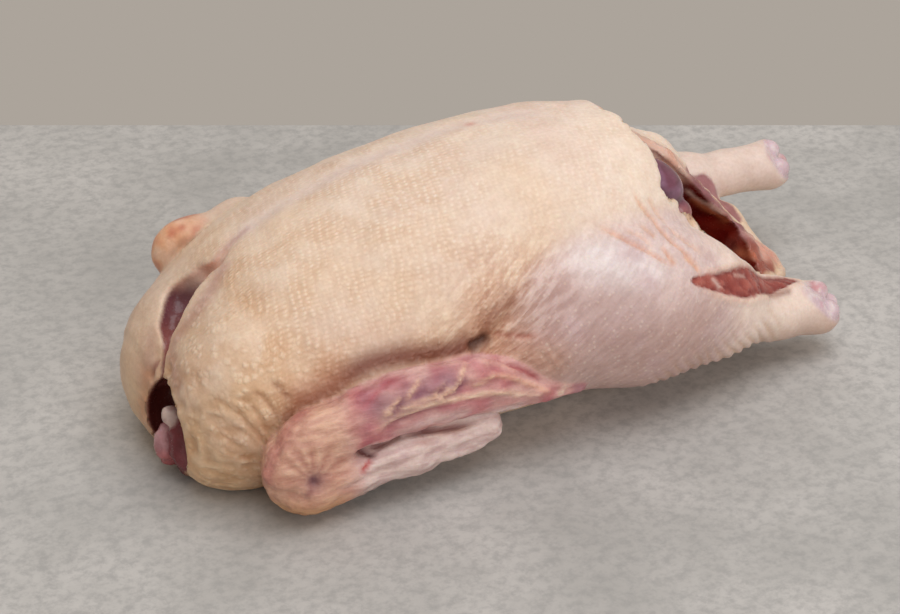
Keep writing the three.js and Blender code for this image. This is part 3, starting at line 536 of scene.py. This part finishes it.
WING = [
    ([(59, -78.5, 38.5), (63.5, -78.5, 40), (68, -78, 41.5), (73.5, -78, 43.5), (79, -78, 44.5), (86, -77.5, 45.5), (92.5, -77.5, 45.5), (104, -77.5, 45), (115.5, -77, 43.5), (122.5, -76.5, 41.5), (129.5, -76, 39), (139, -75.5, 36), (146.5, -75, 33.5)], 1.1, 1.5, (236, 210, 184), 0.95),
    ([(62.5, -78, 43.5), (68, -77.5, 45), (73, -77.5, 46.5), (78.5, -77.5, 47.5), (84, -77, 48), (95, -77, 48.5), (103, -76.5, 49)], 0.9, 1.0, (230, 196, 168), 0.8),
    ([(65.5, -78.5, 39), (74.5, -78, 41.5), (86, -78, 43), (99, -77.5, 43)], 1.2, -1.2, (158, 96, 102), 0.7),
    # the groove under the hand's lower edge: red-brown, darkened with painted shade
    ([(54, -78, 32), (59.5, -75.5, 30), (65.5, -74, 29), (71.5, -73, 30), (76.5, -73.5, 31.5), (85, -74, 31), (94.5, -73, 29.5), (100, -73, 29), (106, -73, 28.5), (111, -72.5, 29), (113.5, -75.5, 33)], 1.4, -2.4, (126, 68, 62), 0.9),
    ([(67, -78, 45), (69.5, -77.5, 47.5), (72, -77, 49), (76.5, -76, 52)], 0.9, 1.1, (232, 196, 170), 0.85),
    ([(77.5, -77, 49), (80, -76, 52), (82, -75, 53.5), (86, -73, 56)], 0.9, 1.1, (232, 196, 170), 0.85),
    ([(87.5, -77.5, 47), (90, -77, 48.5), (92.5, -76.5, 50.5), (97.5, -75, 53.5)], 0.9, 1.1, (232, 196, 170), 0.85),
    ([(91, -77.5, 45), (94.5, -77, 48.5), (98.5, -76, 51.5)], 0.9, 1.1, (232, 196, 170), 0.85),
    ([(95.5, -77.5, 46.5), (98, -77, 48.5), (100.5, -76.5, 50.5), (104, -74, 55), (107.5, -70.5, 57.5)], 0.9, 1.1, (232, 196, 170), 0.85),
    ([(106.5, -76.5, 48), (111, -76.5, 49), (115, -76, 49.5), (119.5, -74.5, 51.5)], 0.9, 1.1, (232, 196, 170), 0.85),
    ([(113.5, -75.5, 51), (119.5, -75, 49.5), (125.5, -75, 47.5), (130, -75.5, 44.5), (134.5, -75.5, 41.5), (140, -75.5, 38), (146.5, -75, 34.5)], 1.1, 1.2, (230, 184, 160), 0.85),
    ([(71.5, -78, 44.5), (74, -77.5, 47.5), (77, -77, 49.5)], 1.2, -1.1, (140, 88, 108), 0.75),
    ([(81.5, -77, 48.5), (84.5, -76.5, 51), (87.5, -75.5, 53)], 1.2, -1.1, (140, 88, 108), 0.75),
    ([(91, -77, 48.5), (94, -76, 51), (98, -75, 53.5)], 1.2, -1.1, (140, 88, 108), 0.75),
    ([(100, -77, 47.5), (103, -76.5, 50), (106, -75, 53)], 1.1, -1.0, (146, 92, 110), 0.7),
    ([(58, -76, 49), (64.5, -74, 53), (71.5, -71.5, 56), (78.5, -70, 57.5)], 1.2, -0.9, (178, 86, 96), 0.7),
    ([(122, -72.5, 53), (126.5, -72.5, 51), (131, -73, 48.5), (136, -74, 45), (141.5, -75, 40.5)], 1.2, -1.0, (156, 58, 66), 0.8),
    ([(77.5, -67.5, 57.5), (88, -68.5, 57.5), (98.5, -70, 57.5), (108.5, -70.5, 57.5)], 1.2, 0.8, (226, 190, 178), 0.6),
    ([(111.5, -71.5, 57), (121, -72.5, 53.5), (130.5, -74.5, 47)], 1.2, 0.7, (228, 186, 172), 0.55),
    ([(147.5, -74.5, 32), (149, -75, 34), (150, -75, 35.5), (152.5, -75, 38)], 1.3, 1.3, (234, 214, 194), 0.9),
    # its deep lower end painted near-black red: painted shade
    ([(54.5, -77.5, 31.5), (58.5, -75, 29), (61, -75, 28), (65.5, -76.5, 26)], 1.2, -2.2, (96, 30, 32), 1.0),
    ([(63, -76.5, 26), (61, -77.5, 25), (59.5, -78, 23.5), (56.5, -79, 21.5)], 1.1, -1.2, (190, 52, 50), 0.85),
    ([(42.5, -80.5, 18), (51.5, -79.5, 18), (65, -79, 20), (78, -79.5, 22.5), (87.5, -79, 23.5)], 1.2, -0.7, (200, 174, 164), 0.55),
    ([(50, -77.5, 11)], 1.2, -0.6, (206, 180, 170), 0.5),
    ([(74.5, -77.5, 26.5), (86, -77, 28), (98.5, -74.5, 28), (110, -74, 27.5)], 1.1, -0.6, (212, 178, 164), 0.5),
    ([(68, -77.5, 24.5), (79, -78, 27)], 1.1, 0.6, (234, 216, 210), 0.5),
    ([(85, -79.5, 23)], 1.1, -0.5, (204, 176, 160), 0.45),
]
paint(ramp(154, 157, x) * wing, (172, 126, 132), 0.85)
# skin drawn together to the dimple of the wrist
dim = np.array([(36.5, -80, 24)][0])
e1, e2 = np.array([1.0, 0.05, 0]), np.array([0.0, 0.5, 0.87])
pa = np.arctan2((V - dim) @ e2, (V - dim) @ e1)
pr = np.linalg.norm(V - dim, axis=1)
spokes = (0.5 + 0.5 * np.cos(pa * 13 + 1.5 * np.sin(pa * 3) + 0.8 * n12)) * ramp(1.5, 5, pr) * ramp(26, 9, pr) * ramp(-0.5, 0.3, np.sin(pa)) * wing
# the grooves between the spokes painted red-brown: painted shade
paint(spokes, (190, 134, 116), 0.7)
# the dimple purple, its hole darkened almost to black: painted shade
paint(np.exp(-(pr / 5.0) ** 2) * wing, (150, 104, 112), 0.7)
paint(np.exp(-(pr / 2.2) ** 2) * wing, (96, 56, 70), 0.95)
paint(stroke(V, [(36.5, -80, 23.5), (34, -80, 20), (31.5, -79, 17.5)], 1.4, 0.2) * wing, (146, 98, 96), 0.7)

# ---- the far wing's knob and the far side
paint(wing2, (222, 196, 176))
paint(wing2 * ramp(46, 34, x), (226, 178, 146), 0.9)
paint(blob(V, (24, 56, 66), (12, 9, 14), 0.6) * wing2, (236, 178, 136), 0.8)
paint(wing2 * ramp(46, 34, x) * np.clip(n6 * 1.3, 0, 1), (200, 122, 104), 0.6)
paint(wing2 * ramp(46, 34, x) * np.clip(-n6 * 1.3, 0, 1), (240, 214, 194), 0.5)
paint(stroke(V, [(30.5, 61.5, 76), (34.5, 60, 77.5)], 2.2, 0) * wing2, (176, 92, 84), 0.7)
for p in [(25.5, 53, 74), (30, 53, 76.5), (38.5, 61, 77)]:
    paint(np.exp(-((V - np.array(p)) ** 2).sum(1) / 2.2 ** 2), (190, 96, 72), 0.7)
# ---- the slit at the neck
paint(stroke(V, [(-2, -27.5, 50.5), (-0.5, -18.5, 52), (2.5, -7.5, 54.5), (7.5, -5.5, 61), (15, -5.5, 68.5), (23, -2.5, 75.5), (30.5, 2.5, 81.5)], 4.5, 0) * (1 - neck), (198, 160, 152), 0.7)
paint(stroke(V, [(-4, 1.5, 41.5), (-0.5, 9, 51.5)], 6.0, 0) * (1 - neck), (206, 168, 154), 0.6)
paint(stroke(V, [(-5.5, 2.5, 39), (-7.5, -1.5, 32), (-8.5, -1.5, 22.5)], 6.0, 0) * (1 - neck), (192, 138, 108), 0.7)
paint(stroke(V, [(31, 12, 79.5), (35, 12.5, 84), (40.5, 14.5, 87.5), (46, 15.5, 90.5)], 2.0, 0), (196, 160, 156), 0.7)
paint(blob(V, (-5, 2, 20), (8, 6, 11), 0.8), (206, 158, 128), 0.6)
paint(blob(V, (2, 40, 52), (20, 22, 22), 0.9) * (1 - neck), (206, 178, 160), 0.6)
paint(neck, (116, 70, 76))
paint(neck * ramp(60, 50, z), (156, 88, 80), 0.8)
paint(neck * ramp(72, 84, z), (150, 112, 116), 0.8)
paint(neck * ramp(48, 40, z), (84, 36, 32))
paint(neck * np.clip(n6, 0, 1), (150, 86, 84), 0.35)
paint(bone, (112, 42, 48))
paint(bone * np.clip(noise(V, (6, 6, 14), 66) * 1.5, 0, 1), (150, 84, 90), 0.6)
paint(bone * blob(V, (-3, -17, 29.5), (5, 4.5, 5), 0.4), (222, 200, 192), 0.9)
paint(bone * blob(V, (-7, -14, 17), (6, 5, 10), 0.5, 0, 10), (208, 160, 166), 0.8)
paint(bone * blob(V, (-7, -18, 8), (6, 6, 5), 0.5), (190, 112, 114), 0.7)
paint(bone * np.clip(-n3 * 1.5, 0, 1), (112, 44, 52), 0.35)

# ---- the vent: fat under the skin, then muscle; a wet, dark red cavity behind, painted darker still as shade in the hollow
near_side = ramp(8, -4, y)
paint(cut, (232, 202, 172))
paint(cut * ramp(2.0, 4.2, depth), (150, 74, 62), 0.95)
paint(cut * ramp(2.0, 4.2, depth) * (1 - near_side), (148, 98, 104), 0.9)
paint(cut * ramp(100, 112, z), (216, 150, 104), 0.5)
paint(flap, (150, 100, 106), 0.95)
paint((cut + flap) * ramp(0.2, 0.9, n6) * (1 - near_side), (178, 128, 126), 0.5)
# the cavity: dark red lining, with near-black patches, darkened as painted shade
paint(cavity, (118, 22, 16))
paint(cavity * np.clip(n12 * 1.3, 0, 1), (124, 40, 26), 0.7)
paint(cavity * np.clip(-n12 * 1.3, 0, 1), (58, 10, 8), 0.7)
paint(fmeat, (158, 104, 108), 0.95)
paint(fmeat * np.clip(noise(V, (9, 2.5, 9), 67) * 1.4, 0, 1), (182, 132, 134), 0.6)
paint(stroke(V, [(265, 20, 56), (269, 18, 52), (273, 15, 49.5), (278, 14, 45.5), (282.5, 14, 40)], 2.2, 0.1) * ramp(150, 200, x), (208, 118, 78), 0.9)
paint(stroke(V, [(259.5, 18, 63), (263.5, 18.5, 59), (266.5, 19, 56), (269.5, 17, 53.5), (272, 14, 52.5), (276, 12.5, 49), (281.5, 12.5, 44)], 1.3, 0.2), (232, 196, 180), 0.8)
paint(stroke(V, [(249.5, 15, 80.5), (252.5, 16, 76), (256, 17, 70), (259.5, 17.5, 64.5)], 1.6, 0.2), (150, 44, 26), 0.8)
paint(stroke(V, [(281.5, 4, 31), (282.5, -3, 32.5), (284, -8, 34)], 2.4, 0), (200, 116, 84), 0.7)
paint(stroke(V, [(290, 6, 36), (296, 10, 30.5), (292, -3, 29.5)], 3.5, 0), (228, 184, 168), 0.8)
upper = ramp(268, 256, x) * ramp(62, 72, z) * ramp(4, 10, y) * ramp(0.3, 1.2, depth)
paint(upper, (232, 196, 178), 0.9)
paint(upper * np.clip(n6, 0, 1), (226, 160, 132), 0.5)
paint(blob(V, (295, 8, 23), (13, 13, 12), 0.4) * ramp(0.3, 1.5, depth), (224, 164, 146), 0.9)
paint(blob(V, (290, 11, 30), (5, 6, 5), 0.4) * ramp(0.5, 2, depth), (230, 184, 156), 0.7)
paint(blob(V, (289, 11, 25), (6, 7, 3.5), 0.4, 0, 20) * ramp(0.5, 2, depth), (168, 84, 62), 0.6)
# bared muscle beside the near drumstick
fib = noise(V @ np.array([[0.9, 0.3, 0.2], [-0.3, 0.9, 0.1], [-0.3, -0.1, 0.9]]), (14, 1.8, 1.8), 61)
paint(meat, (158, 78, 70))
paint(meat * np.clip(fib, 0, 1), (186, 110, 98), 0.7)
paint(meat * np.clip(-fib, 0, 1), (128, 50, 48), 0.7)
# darker along the muscle's lower edge: painted shade
paint(meat * ramp(-4.5, -1.0, meat_d) * ramp(62, 50, z), (120, 52, 50), 0.4)
paint(ramp(2.2, 0.4, np.abs(meat_d - 1.2)) * (1 - meat) * ramp(215, 225, x), (226, 190, 172), 0.5)
# two pale streaks on the wet muscle: painted highlights
paint(stroke(V, [(224.5, -67, 66.5), (227, -67.5, 64), (229, -68, 60.5)], 1.2, 0.1), (226, 196, 186), 0.75)
paint(stroke(V, [(239.5, -61, 61.5), (248.5, -57.5, 57)], 1.0, 0.1), (220, 184, 172), 0.6)
# a dark line below the muscle: painted shadow in the gap
paint(stroke(V, [(260.5, -56.5, 43.5), (268, -53, 40.5), (275.5, -50.5, 39)], 1.6, 0), (122, 62, 52), 0.6)
# hock ends: gristle, lavender to pink
for m, s in ((hock_near, -1), (hock_far, 1)):
    paint(m, (216, 192, 200))
    paint(m * np.clip(n6 * 1.6, 0, 1), (206, 142, 146), 0.8)
    paint(m * np.clip(-n3 * 1.4, 0, 1), (236, 224, 222), 0.6)
    paint(m * np.exp(-((V - np.array(HOCK[s][0]) - np.array([9, 0, -4])) ** 2).sum(1) / 3.2 ** 2), (190, 96, 96), 0.7)

# ---------------------------------------------------------------- folds and swellings
push = np.zeros(len(V))
push += skin * (0.5 * noise(V, 24, 51, 2) + 0.22 * noise(V, 8, 52))
# each crease is pushed in and painted orange-brown in its groove, the darkening being painted shade
for pts, w, d, c, a in CREASE:
    m = stroke(V, pts, w) * (1 - wing)
    push += m * d
    push -= 0.35 * d * (stroke(V, pts, w * 2.4) * (1 - wing) - m)
    paint(stroke(V, pts, w * 1.15) * (1 - wing), c, a)
for pts, w, d, c, a in WING:
    m = stroke(V, pts, w) * wing
    push += m * d
    paint(stroke(V, pts, w * 1.1) * wing, c, a)
push += keel * -0.5
push -= 2.6 * np.exp(-(pr / 3.2) ** 2) * wing
push += 0.8 * (0.5 - spokes) * ramp(1.5, 5, pr) * ramp(26, 12, pr) * wing
push += wing * (0.45 * noise(V, (10, 4, 4), 53) + 0.25 * n3)
# wrinkles under the near drumstick and over the lobe
wr = np.sin((x * 0.92 + z * 0.55 - 0.15 * y) * 2 * np.pi / 5.2 + 1.6 * n12)
under = near_leg * ramp(185, 205, x) * ramp(276, 255, x) * ramp(44, 26, z)
push += under * wr * 0.55
# the wrinkles' troughs painted tan: painted shade
paint(under * np.clip(-wr, 0, 1), (206, 164, 128), 0.45)
lumps = np.abs(noise(V, (9, 7, 4.5), 54)) * ramp(48, 20, x) * ramp(70, 40, z) * (1 - wing) * skin * ramp(20, -10, y)
push -= lumps * 1.1
# the dents painted yellow-brown, darker: painted shade
paint(lumps, (196, 150, 108), 0.35)
push -= 1.0 * stroke(V, [(260.5, -56.5, 43.5), (268, -53, 40.5), (275.5, -50.5, 39)], 1.6, 0)
push += meat * (-0.8 + 0.45 * fib) + fmeat * (-0.6 + 0.4 * noise(V, (9, 2.5, 9), 67))
push += 0.8 * ramp(3.2, 0.6, np.abs(meat_d - 1.6)) * (1 - meat) * ramp(222, 230, x) * near_leg
push += (cut + flap) * (1 - near_side) * 0.5 * noise(V, (4, 3, 8), 62)
push += cavity * 0.8 * noise(V, 7, 63, 2)
push += neck * 0.5 * noise(V, (5, 5, 9), 64, 2)
push += bone * 0.7 * noise(V, 3.5, 65)
low = ramp(0.4, 3.0, z)                                # the side on the table stays flat
push *= low
V = V + N * push[:, None]
V[:, 2] = np.maximum(V[:, 2], 0)
N2 = face_normals(V, F)

# ---------------------------------------------------------------- where the feather follicles lie
zc = widez(np.clip(x, 0, 300))
phi = np.arctan2((y - LEAN * z) / 68, (z - zc) / 60)
across = phi * 66
along = x - 0.10 * across + 2.0 * n28
rows = skin * ramp(14, 34, x) * (1 - wing) * (1 - wing2) * (1 - ramp(0.2, 0.8, near_leg) * ramp(118, 135, x)) * (1 - ramp(0.2, 0.8, far_leg))
rows *= (1 - 0.55 * ramp(105, 175, x)) * np.clip(0.85 + 0.5 * n12, 0.4, 1)
rows *= 1 - 0.6 * np.clip(keel * 1.3, 0, 1)
lobe = skin * ramp(50, 20, x) * (1 - wing) * (0.4 + 0.6 * ramp(6, -14, y)) * np.clip(0.75 + 0.8 * n12, 0.2, 1)
above_wing = ramp(8, 22, x) * ramp(150, 110, x) * ramp(80, 58, z) * ramp(-35, -50, y) * skin * (1 - wing)
dots = skin * (near_leg * ramp(118, 135, x) * ramp(262, 230, x) + 0.6 * far_leg * ramp(150, 170, x) * ramp(290, 250, x)) * (1 - wing)
fan = (stroke(V, [(114.5, -67, 61), (120.5, -66, 66), (127.5, -64, 71.5), (134.5, -61.5, 77)], 22, 0) * skin * (1 - wing))
wet = np.clip(flesh + meat + bone + hock_near + hock_far, 0, 1)

def mesh_object(name, V, F, layers):
    me = bpy.data.meshes.new(name)
    me.vertices.add(len(V))
    me.vertices.foreach_set("co", ((V + SHIFT) * 0.001).astype(np.float32).ravel())
    me.loops.add(F.size)
    me.loops.foreach_set("vertex_index", F.astype(np.int32).ravel())
    me.polygons.add(len(F))
    me.polygons.foreach_set("loop_start", (np.arange(len(F)) * 4).astype(np.int32))
    me.polygons.foreach_set("loop_total", np.full(len(F), 4, np.int32))
    me.update(calc_edges=True)
    me.validate()
    me.polygons.foreach_set("use_smooth", np.ones(len(F), bool))
    for key, data in layers.items():
        a = me.attributes.new(key, "FLOAT_COLOR", "POINT")
        rgba = np.ones((len(V), 4), np.float32)
        rgba[:, :data.shape[1]] = data
        a.data.foreach_set("color", rgba.ravel())
    o = bpy.data.objects.new(name, me)
    bpy.context.scene.collection.objects.link(o)
    return o
duck = mesh_object("duck_skin", V, F, {
    "tint": np.clip(col, 0, 1),
    "relief": np.stack([rows, np.clip(lobe + above_wing, 0, 1), dots], 1),
    "surface": np.stack([wet, skin, wing], 1),
    "pull": np.stack([((x * 0.82 + z * 0.57) * 0.22) * 0.001, ((z * 0.82 - x * 0.57)) * 0.001, y * 0.0005], 1),
    "lie": np.stack([along * 0.001, across * 0.001, fan], 1)})
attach(duck, "root")
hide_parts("duck")

# ================================================================ the organ
def organ(P):
    d = smin(ell(P, (237.5, 7, 73), (15.5, 11.5, 11), 0, -43), ell(P, (248.5, 2, 60), (7, 6, 6), 0, -43), 3)
    return d + 0.5 * noise(P, 12, 71)
OV, OF, ON = skin_mesh(organ, (212, -14, 44), (264, 24, 94), 0.9)
lobe_o = ramp(67, 59, OV[:, 2] + 0.3 * (OV[:, 0] - 250))
oc = np.tile(rgb(120, 70, 88), (len(OV), 1))
m = np.clip(noise(OV, 9, 72, 2), 0, 1)[:, None] * 0.6
oc = oc * (1 - m) + rgb(158, 122, 146) * m
m = lobe_o[:, None]
oc = oc * (1 - m) + rgb(196, 128, 122) * m
giblet = mesh_object("giblet_organ", OV, OF, {"tint": oc, "lie": OV * 0.001})
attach(giblet, "root")
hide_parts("giblet")

# ================================================================ materials
class Nodes:
    """A short way to write a material's node tree."""
    def __init__(self, name):
        self.mat = bpy.data.materials.new(name)
        self.mat.use_nodes = True
        self.t = self.mat.node_tree
        self.t.nodes.clear()
        self.out = self.t.nodes.new("ShaderNodeOutputMaterial")
        self.p = self.t.nodes.new("ShaderNodeBsdfPrincipled")
        self.t.links.new(self.p.outputs[0], self.out.inputs[0])
    def node(self, kind, inputs=(), **props):
        n = self.t.nodes.new("ShaderNode" + kind)
        for k, v in props.items():
            setattr(n, k, v)
        for k, v in dict(inputs).items():
            s = n.inputs[k]
            if isinstance(v, bpy.types.NodeSocket):
                self.t.links.new(v, s)
            else:
                s.default_value = v
        return n
    def attr(self, name):
        return self.node("Attribute", attribute_name=name)
    def split(self, socket):
        return self.node("SeparateXYZ", {0: socket}).outputs
    def maths(self, op, a, b=0.0, clamp=False):
        return self.node("Math", {0: a, 1: b}, operation=op, use_clamp=clamp).outputs[0]
    def mix(self, f, a, b, how="MIX"):
        n = self.node("Mix", data_type="RGBA", blend_type=how)
        for s, v in ((n.inputs[0], f), (n.inputs[6], a), (n.inputs[7], b)):
            if isinstance(v, bpy.types.NodeSocket):
                self.t.links.new(v, s)
            else:
                s.default_value = v if not isinstance(v, tuple) or len(v) == 4 else (*v, 1)
        return n.outputs[2]
    def span(self, v, a, b, c, d, smooth=True):
        return self.node("MapRange", {0: v, 1: a, 2: b, 3: c, 4: d}, interpolation_type="SMOOTHSTEP" if smooth else "LINEAR").outputs[0]
    def bump(self, h, dist, strength=1.0, normal=None):
        i = {"Height": h, "Distance": dist, "Strength": strength}
        if normal is not None:
            i["Normal"] = normal
        return self.node("Bump", i).outputs[0]
    def set(self, **kw):
        for k, v in kw.items():
            s = self.p.inputs[k.replace("_", " ")]
            if isinstance(v, bpy.types.NodeSocket):
                self.t.links.new(v, s)
            else:
                s.default_value = v

m = Nodes("duck_skin")
tint = m.attr("tint").outputs["Color"]
rows_, lobe_, dots_ = m.split(m.attr("relief").outputs["Vector"])
wet_, skin_, wing_ = m.split(m.attr("surface").outputs["Vector"])
lie = m.attr("lie").outputs["Vector"]
fan_ = m.split(lie)[2]
place = m.node("TexCoord").outputs["Object"]
pull = m.attr("pull").outputs["Vector"]
patch = m.node("TexNoise", {"Vector": place, "Scale": 60.0, "Detail": 2.0}).outputs[0]
here = m.span(patch, 0.35, 0.6, 0.45, 1.0)
# staggered rows of follicles along the breast
bent = m.node("TexNoise", {"Vector": place, "Scale": 120.0, "Detail": 1.0}).outputs["Color"]
moved = m.node("VectorMath", {0: bent, 1: (0.0022, 0.0022, 0.0)}, operation="MULTIPLY").outputs[0]
moved = m.node("VectorMath", {0: lie, 1: moved}, operation="ADD").outputs[0]
turned = m.node("Mapping", {"Vector": moved, "Rotation": (0, 0, math.radians(4)), "Scale": (1, 1.45, 1)}).outputs[0]
v1 = m.node("TexVoronoi", {"Vector": turned, "Scale": 1000 / 3.2, "Randomness": 0.38}, voronoi_dimensions="2D").outputs["Distance"]
bead = m.span(v1, 0.62, 0.05, 0.0, 1.0)
phase = m.maths("MULTIPLY", m.split(turned)[0], 2 * math.pi * 1000 / 3.2)
column = m.maths("SUBTRACT", 0.5, m.maths("MULTIPLY", m.maths("COSINE", phase), 0.5))
bead = m.maths("MULTIPLY", bead, m.maths("ADD", m.maths("MULTIPLY", column, 0.75), 0.35))
# pimples and fine wrinkles near the neck and above the wing
warp = m.node("TexNoise", {"Vector": place, "Scale": 240.0, "Detail": 2.0}).outputs["Color"]
warp = m.node("VectorMath", {0: warp, 1: (0.003, 0.003, 0.003)}, operation="MULTIPLY").outputs[0]
warp = m.node("VectorMath", {0: place, 1: warp}, operation="ADD").outputs[0]
v2 = m.node("TexVoronoi", {"Vector": warp, "Scale": 1000 / 3.5, "Randomness": 0.85}).outputs["Distance"]
goose = m.span(v2, 0.60, 0.08, 0.0, 1.0)
# small dots on the thighs, and skin drawn up and back over the muscle
v3 = m.node("TexVoronoi", {"Vector": place, "Scale": 1000 / 3.0, "Randomness": 0.7}).outputs["Distance"]
dot = m.span(v3, 0.30, 0.12, 0.0, 1.0)
drawn = m.node("TexNoise", {"Vector": pull, "Scale": 420.0, "Detail": 2.0}).outputs[0]
fine = m.node("TexNoise", {"Vector": place, "Scale": 700.0, "Detail": 3.0}).outputs[0]
mid = m.node("TexNoise", {"Vector": place, "Scale": 160.0, "Detail": 3.0}).outputs[0]
r1 = m.maths("MULTIPLY", rows_, here)
r2 = m.maths("MULTIPLY", lobe_, m.span(patch, 0.3, 0.6, 0.6, 1.0))
# the follicles paler than the skin between them: partly their own colour, partly a painted highlight on each bump
c = m.mix(r1, tint, m.mix(bead, (0.89, 0.79, 0.70), (1.08, 1.07, 1.05)), "MULTIPLY")
c = m.mix(r2, c, m.mix(goose, (0.90, 0.79, 0.68), (1.05, 1.04, 1.0)), "MULTIPLY")
c = m.mix(m.maths("MULTIPLY", dots_, m.maths("MULTIPLY", dot, 0.28)), c, (0.86, 0.74, 0.62))
c = m.mix(m.maths("MULTIPLY", dots_, 0.5), c, m.mix(m.span(drawn, 0.35, 0.65, 0.0, 1.0), (0.86, 0.80, 0.80), (1.08, 1.08, 1.08)), "MULTIPLY")
streak = m.node("TexNoise", {"Vector": m.node("Mapping", {"Vector": place, "Rotation": (0, math.radians(-6), 0), "Scale": (0.3, 1, 1)}).outputs[0], "Scale": 330.0, "Detail": 4.0}).outputs[0]
c = m.mix(m.maths("MULTIPLY", wing_, 0.8), c, m.mix(m.span(streak, 0.35, 0.65, 0.0, 1.0), (0.84, 0.70, 0.72), (1.10, 1.08, 1.06)), "MULTIPLY")
c = m.mix(m.maths("MULTIPLY", fan_, 0.85), c, m.mix(m.span(drawn, 0.38, 0.62, 0.0, 1.0), (0.78, 0.60, 0.52), (1.08, 1.06, 1.04)), "MULTIPLY")
tone = m.span(mid, 0.3, 0.7, 0.0, 1.0)
c = m.mix(0.5, c, m.mix(tone, (0.92, 0.87, 0.84), (1.05, 1.06, 1.06)), "MULTIPLY")
c = m.mix(0.35, c, m.mix(m.span(fine, 0.3, 0.7, 0.0, 1.0), (0.88, 0.83, 0.78), (1.08, 1.08, 1.08)), "MULTIPLY")
h = m.maths("MULTIPLY", bead, m.maths("MULTIPLY", r1, 0.24))
h = m.maths("ADD", h, m.maths("MULTIPLY", goose, m.maths("MULTIPLY", r2, 0.34)))
h = m.maths("ADD", h, m.maths("MULTIPLY", dot, m.maths("MULTIPLY", dots_, 0.08)))
h = m.maths("ADD", h, m.maths("MULTIPLY", drawn, m.maths("MULTIPLY", dots_, 0.30)))
h = m.maths("ADD", h, m.maths("MULTIPLY", drawn, m.maths("MULTIPLY", fan_, 1.1)))
h = m.maths("ADD", h, m.maths("MULTIPLY", streak, m.maths("MULTIPLY", wing_, 0.9)))
h = m.maths("ADD", h, m.maths("MULTIPLY", fine, 0.12))
h = m.maths("ADD", h, m.maths("MULTIPLY", mid, 0.30))
rough = m.span(wet_, 0.0, 1.0, 0.46, 0.24, False)
rough = m.maths("ADD", rough, m.maths("MULTIPLY", m.maths("SUBTRACT", fine, 0.5), 0.25))
m.set(Base_Color=c, Roughness=rough, Normal=m.bump(h, 0.001, 1.0), Subsurface_Weight=0.12,
      Subsurface_Radius=(0.006, 0.0025, 0.0012), Subsurface_Scale=1.0, IOR=1.42)
duck.data.materials.append(m.mat)

m = Nodes("giblet_organ")
tint = m.attr("tint").outputs["Color"]
place = m.node("TexCoord").outputs["Object"]
n = m.node("TexNoise", {"Vector": place, "Scale": 220.0, "Detail": 4.0}).outputs[0]
c = m.mix(0.6, tint, m.mix(m.span(n, 0.3, 0.7, 0, 1), (0.62, 0.5, 0.55), (1.2, 1.15, 1.2)), "MULTIPLY")
m.set(Base_Color=c, Roughness=0.16, Normal=m.bump(n, 0.001, 0.6), Subsurface_Weight=0.05, Subsurface_Radius=(0.003, 0.001, 0.001), IOR=1.42, Coat_Weight=0.5, Coat_Roughness=0.08)
giblet.data.materials.append(m.mat)

# ================================================================ table, light and camera
TARGET, BACK, FAR = np.array([129.0, -9.0, 45.0]), np.array([-0.366, -0.785, 0.5]), 1000.0
BACK = BACK / np.linalg.norm(BACK)
eye = (TARGET + BACK * FAR + SHIFT) * 0.001
cam = bpy.data.cameras.new("camera")
cam.sensor_fit, cam.sensor_width, cam.lens = "HORIZONTAL", 36.0, 2311 / 900 * 36
cam.clip_start, cam.clip_end = 0.05, 20
camera = bpy.data.objects.new("camera", cam)
camera.location = eye
camera.rotation_euler = Vector(-BACK).to_track_quat("-Z", "Y").to_euler()
bpy.context.scene.collection.objects.link(camera)
bpy.context.scene.camera = camera

# the table: a flat top whose far edge shows behind the bird
right = np.array([math.cos(math.radians(25)), -math.sin(math.radians(25)), 0])
fwd = np.array([math.sin(math.radians(25)), math.cos(math.radians(25)), 0])
mid_ = np.array([eye[0], eye[1], 0])
EDGE, NEARER = 1.143, -1.6
corners = [mid_ + right * a + fwd * b for a, b in ((-2.6, NEARER), (2.6, NEARER), (2.6, EDGE), (-2.6, EDGE))]
fm = bpy.data.meshes.new("table")
fm.from_pydata([tuple(c) for c in corners], [], [(0, 1, 2, 3)])
table = bpy.data.objects.new("table", fm)
table.location.z = -0.0002
bpy.context.scene.collection.objects.link(table)
m = Nodes("table_top")
place = m.node("TexCoord").outputs["Object"]
a = m.node("TexNoise", {"Vector": place, "Scale": 9.0, "Detail": 8.0, "Roughness": 0.62}).outputs[0]
b = m.node("TexNoise", {"Vector": place, "Scale": 170.0, "Detail": 8.0, "Roughness": 0.72}).outputs[0]
c = m.mix(m.span(a, 0.3, 0.7, 0, 1), (*rgb(176, 174, 170), 1), (*rgb(202, 199, 195), 1))
c = m.mix(m.span(b, 0.4, 0.66, 0, 0.6), c, (*rgb(154, 153, 151), 1))
m.set(Base_Color=c, Roughness=0.62)
fm.materials.append(m.mat)

scene = bpy.context.scene
scene.view_settings.view_transform = "Standard"
scene.view_settings.look = "None"
world = bpy.data.worlds.new("room")
scene.world = world
world.use_nodes = True
world.node_tree.nodes["Background"].inputs[0].default_value = (*rgb(172, 164, 155), 1)
world.node_tree.nodes["Background"].inputs[1].default_value = 1.0
def lamp(name, at, to, size, power, colour=(1, 1, 1)):
    l = bpy.data.lights.new(name, "AREA")
    l.shape, l.size, l.size_y, l.energy, l.color = "RECTANGLE", size[0], size[1], power, colour
    o = bpy.data.objects.new(name, l)
    o.location = at
    o.rotation_euler = (Vector(to) - Vector(at)).to_track_quat("-Z", "Y").to_euler()
    scene.collection.objects.link(o)
lamp("window", (0.15, -0.35, 1.55), (0, 0, 0.03), (1.5, 1.2), 13.0, (0.965, 0.985, 1.03))
lamp("front", (0.2, -1.75, 0.75), (0, 0, 0.03), (1.6, 0.9), 9.8, (0.985, 0.985, 1.0))
lamp("back", (-0.1, 1.1, 1.1), (0, 0, 0.03), (1.2, 0.8), 2.5, (1.0, 0.99, 0.98))
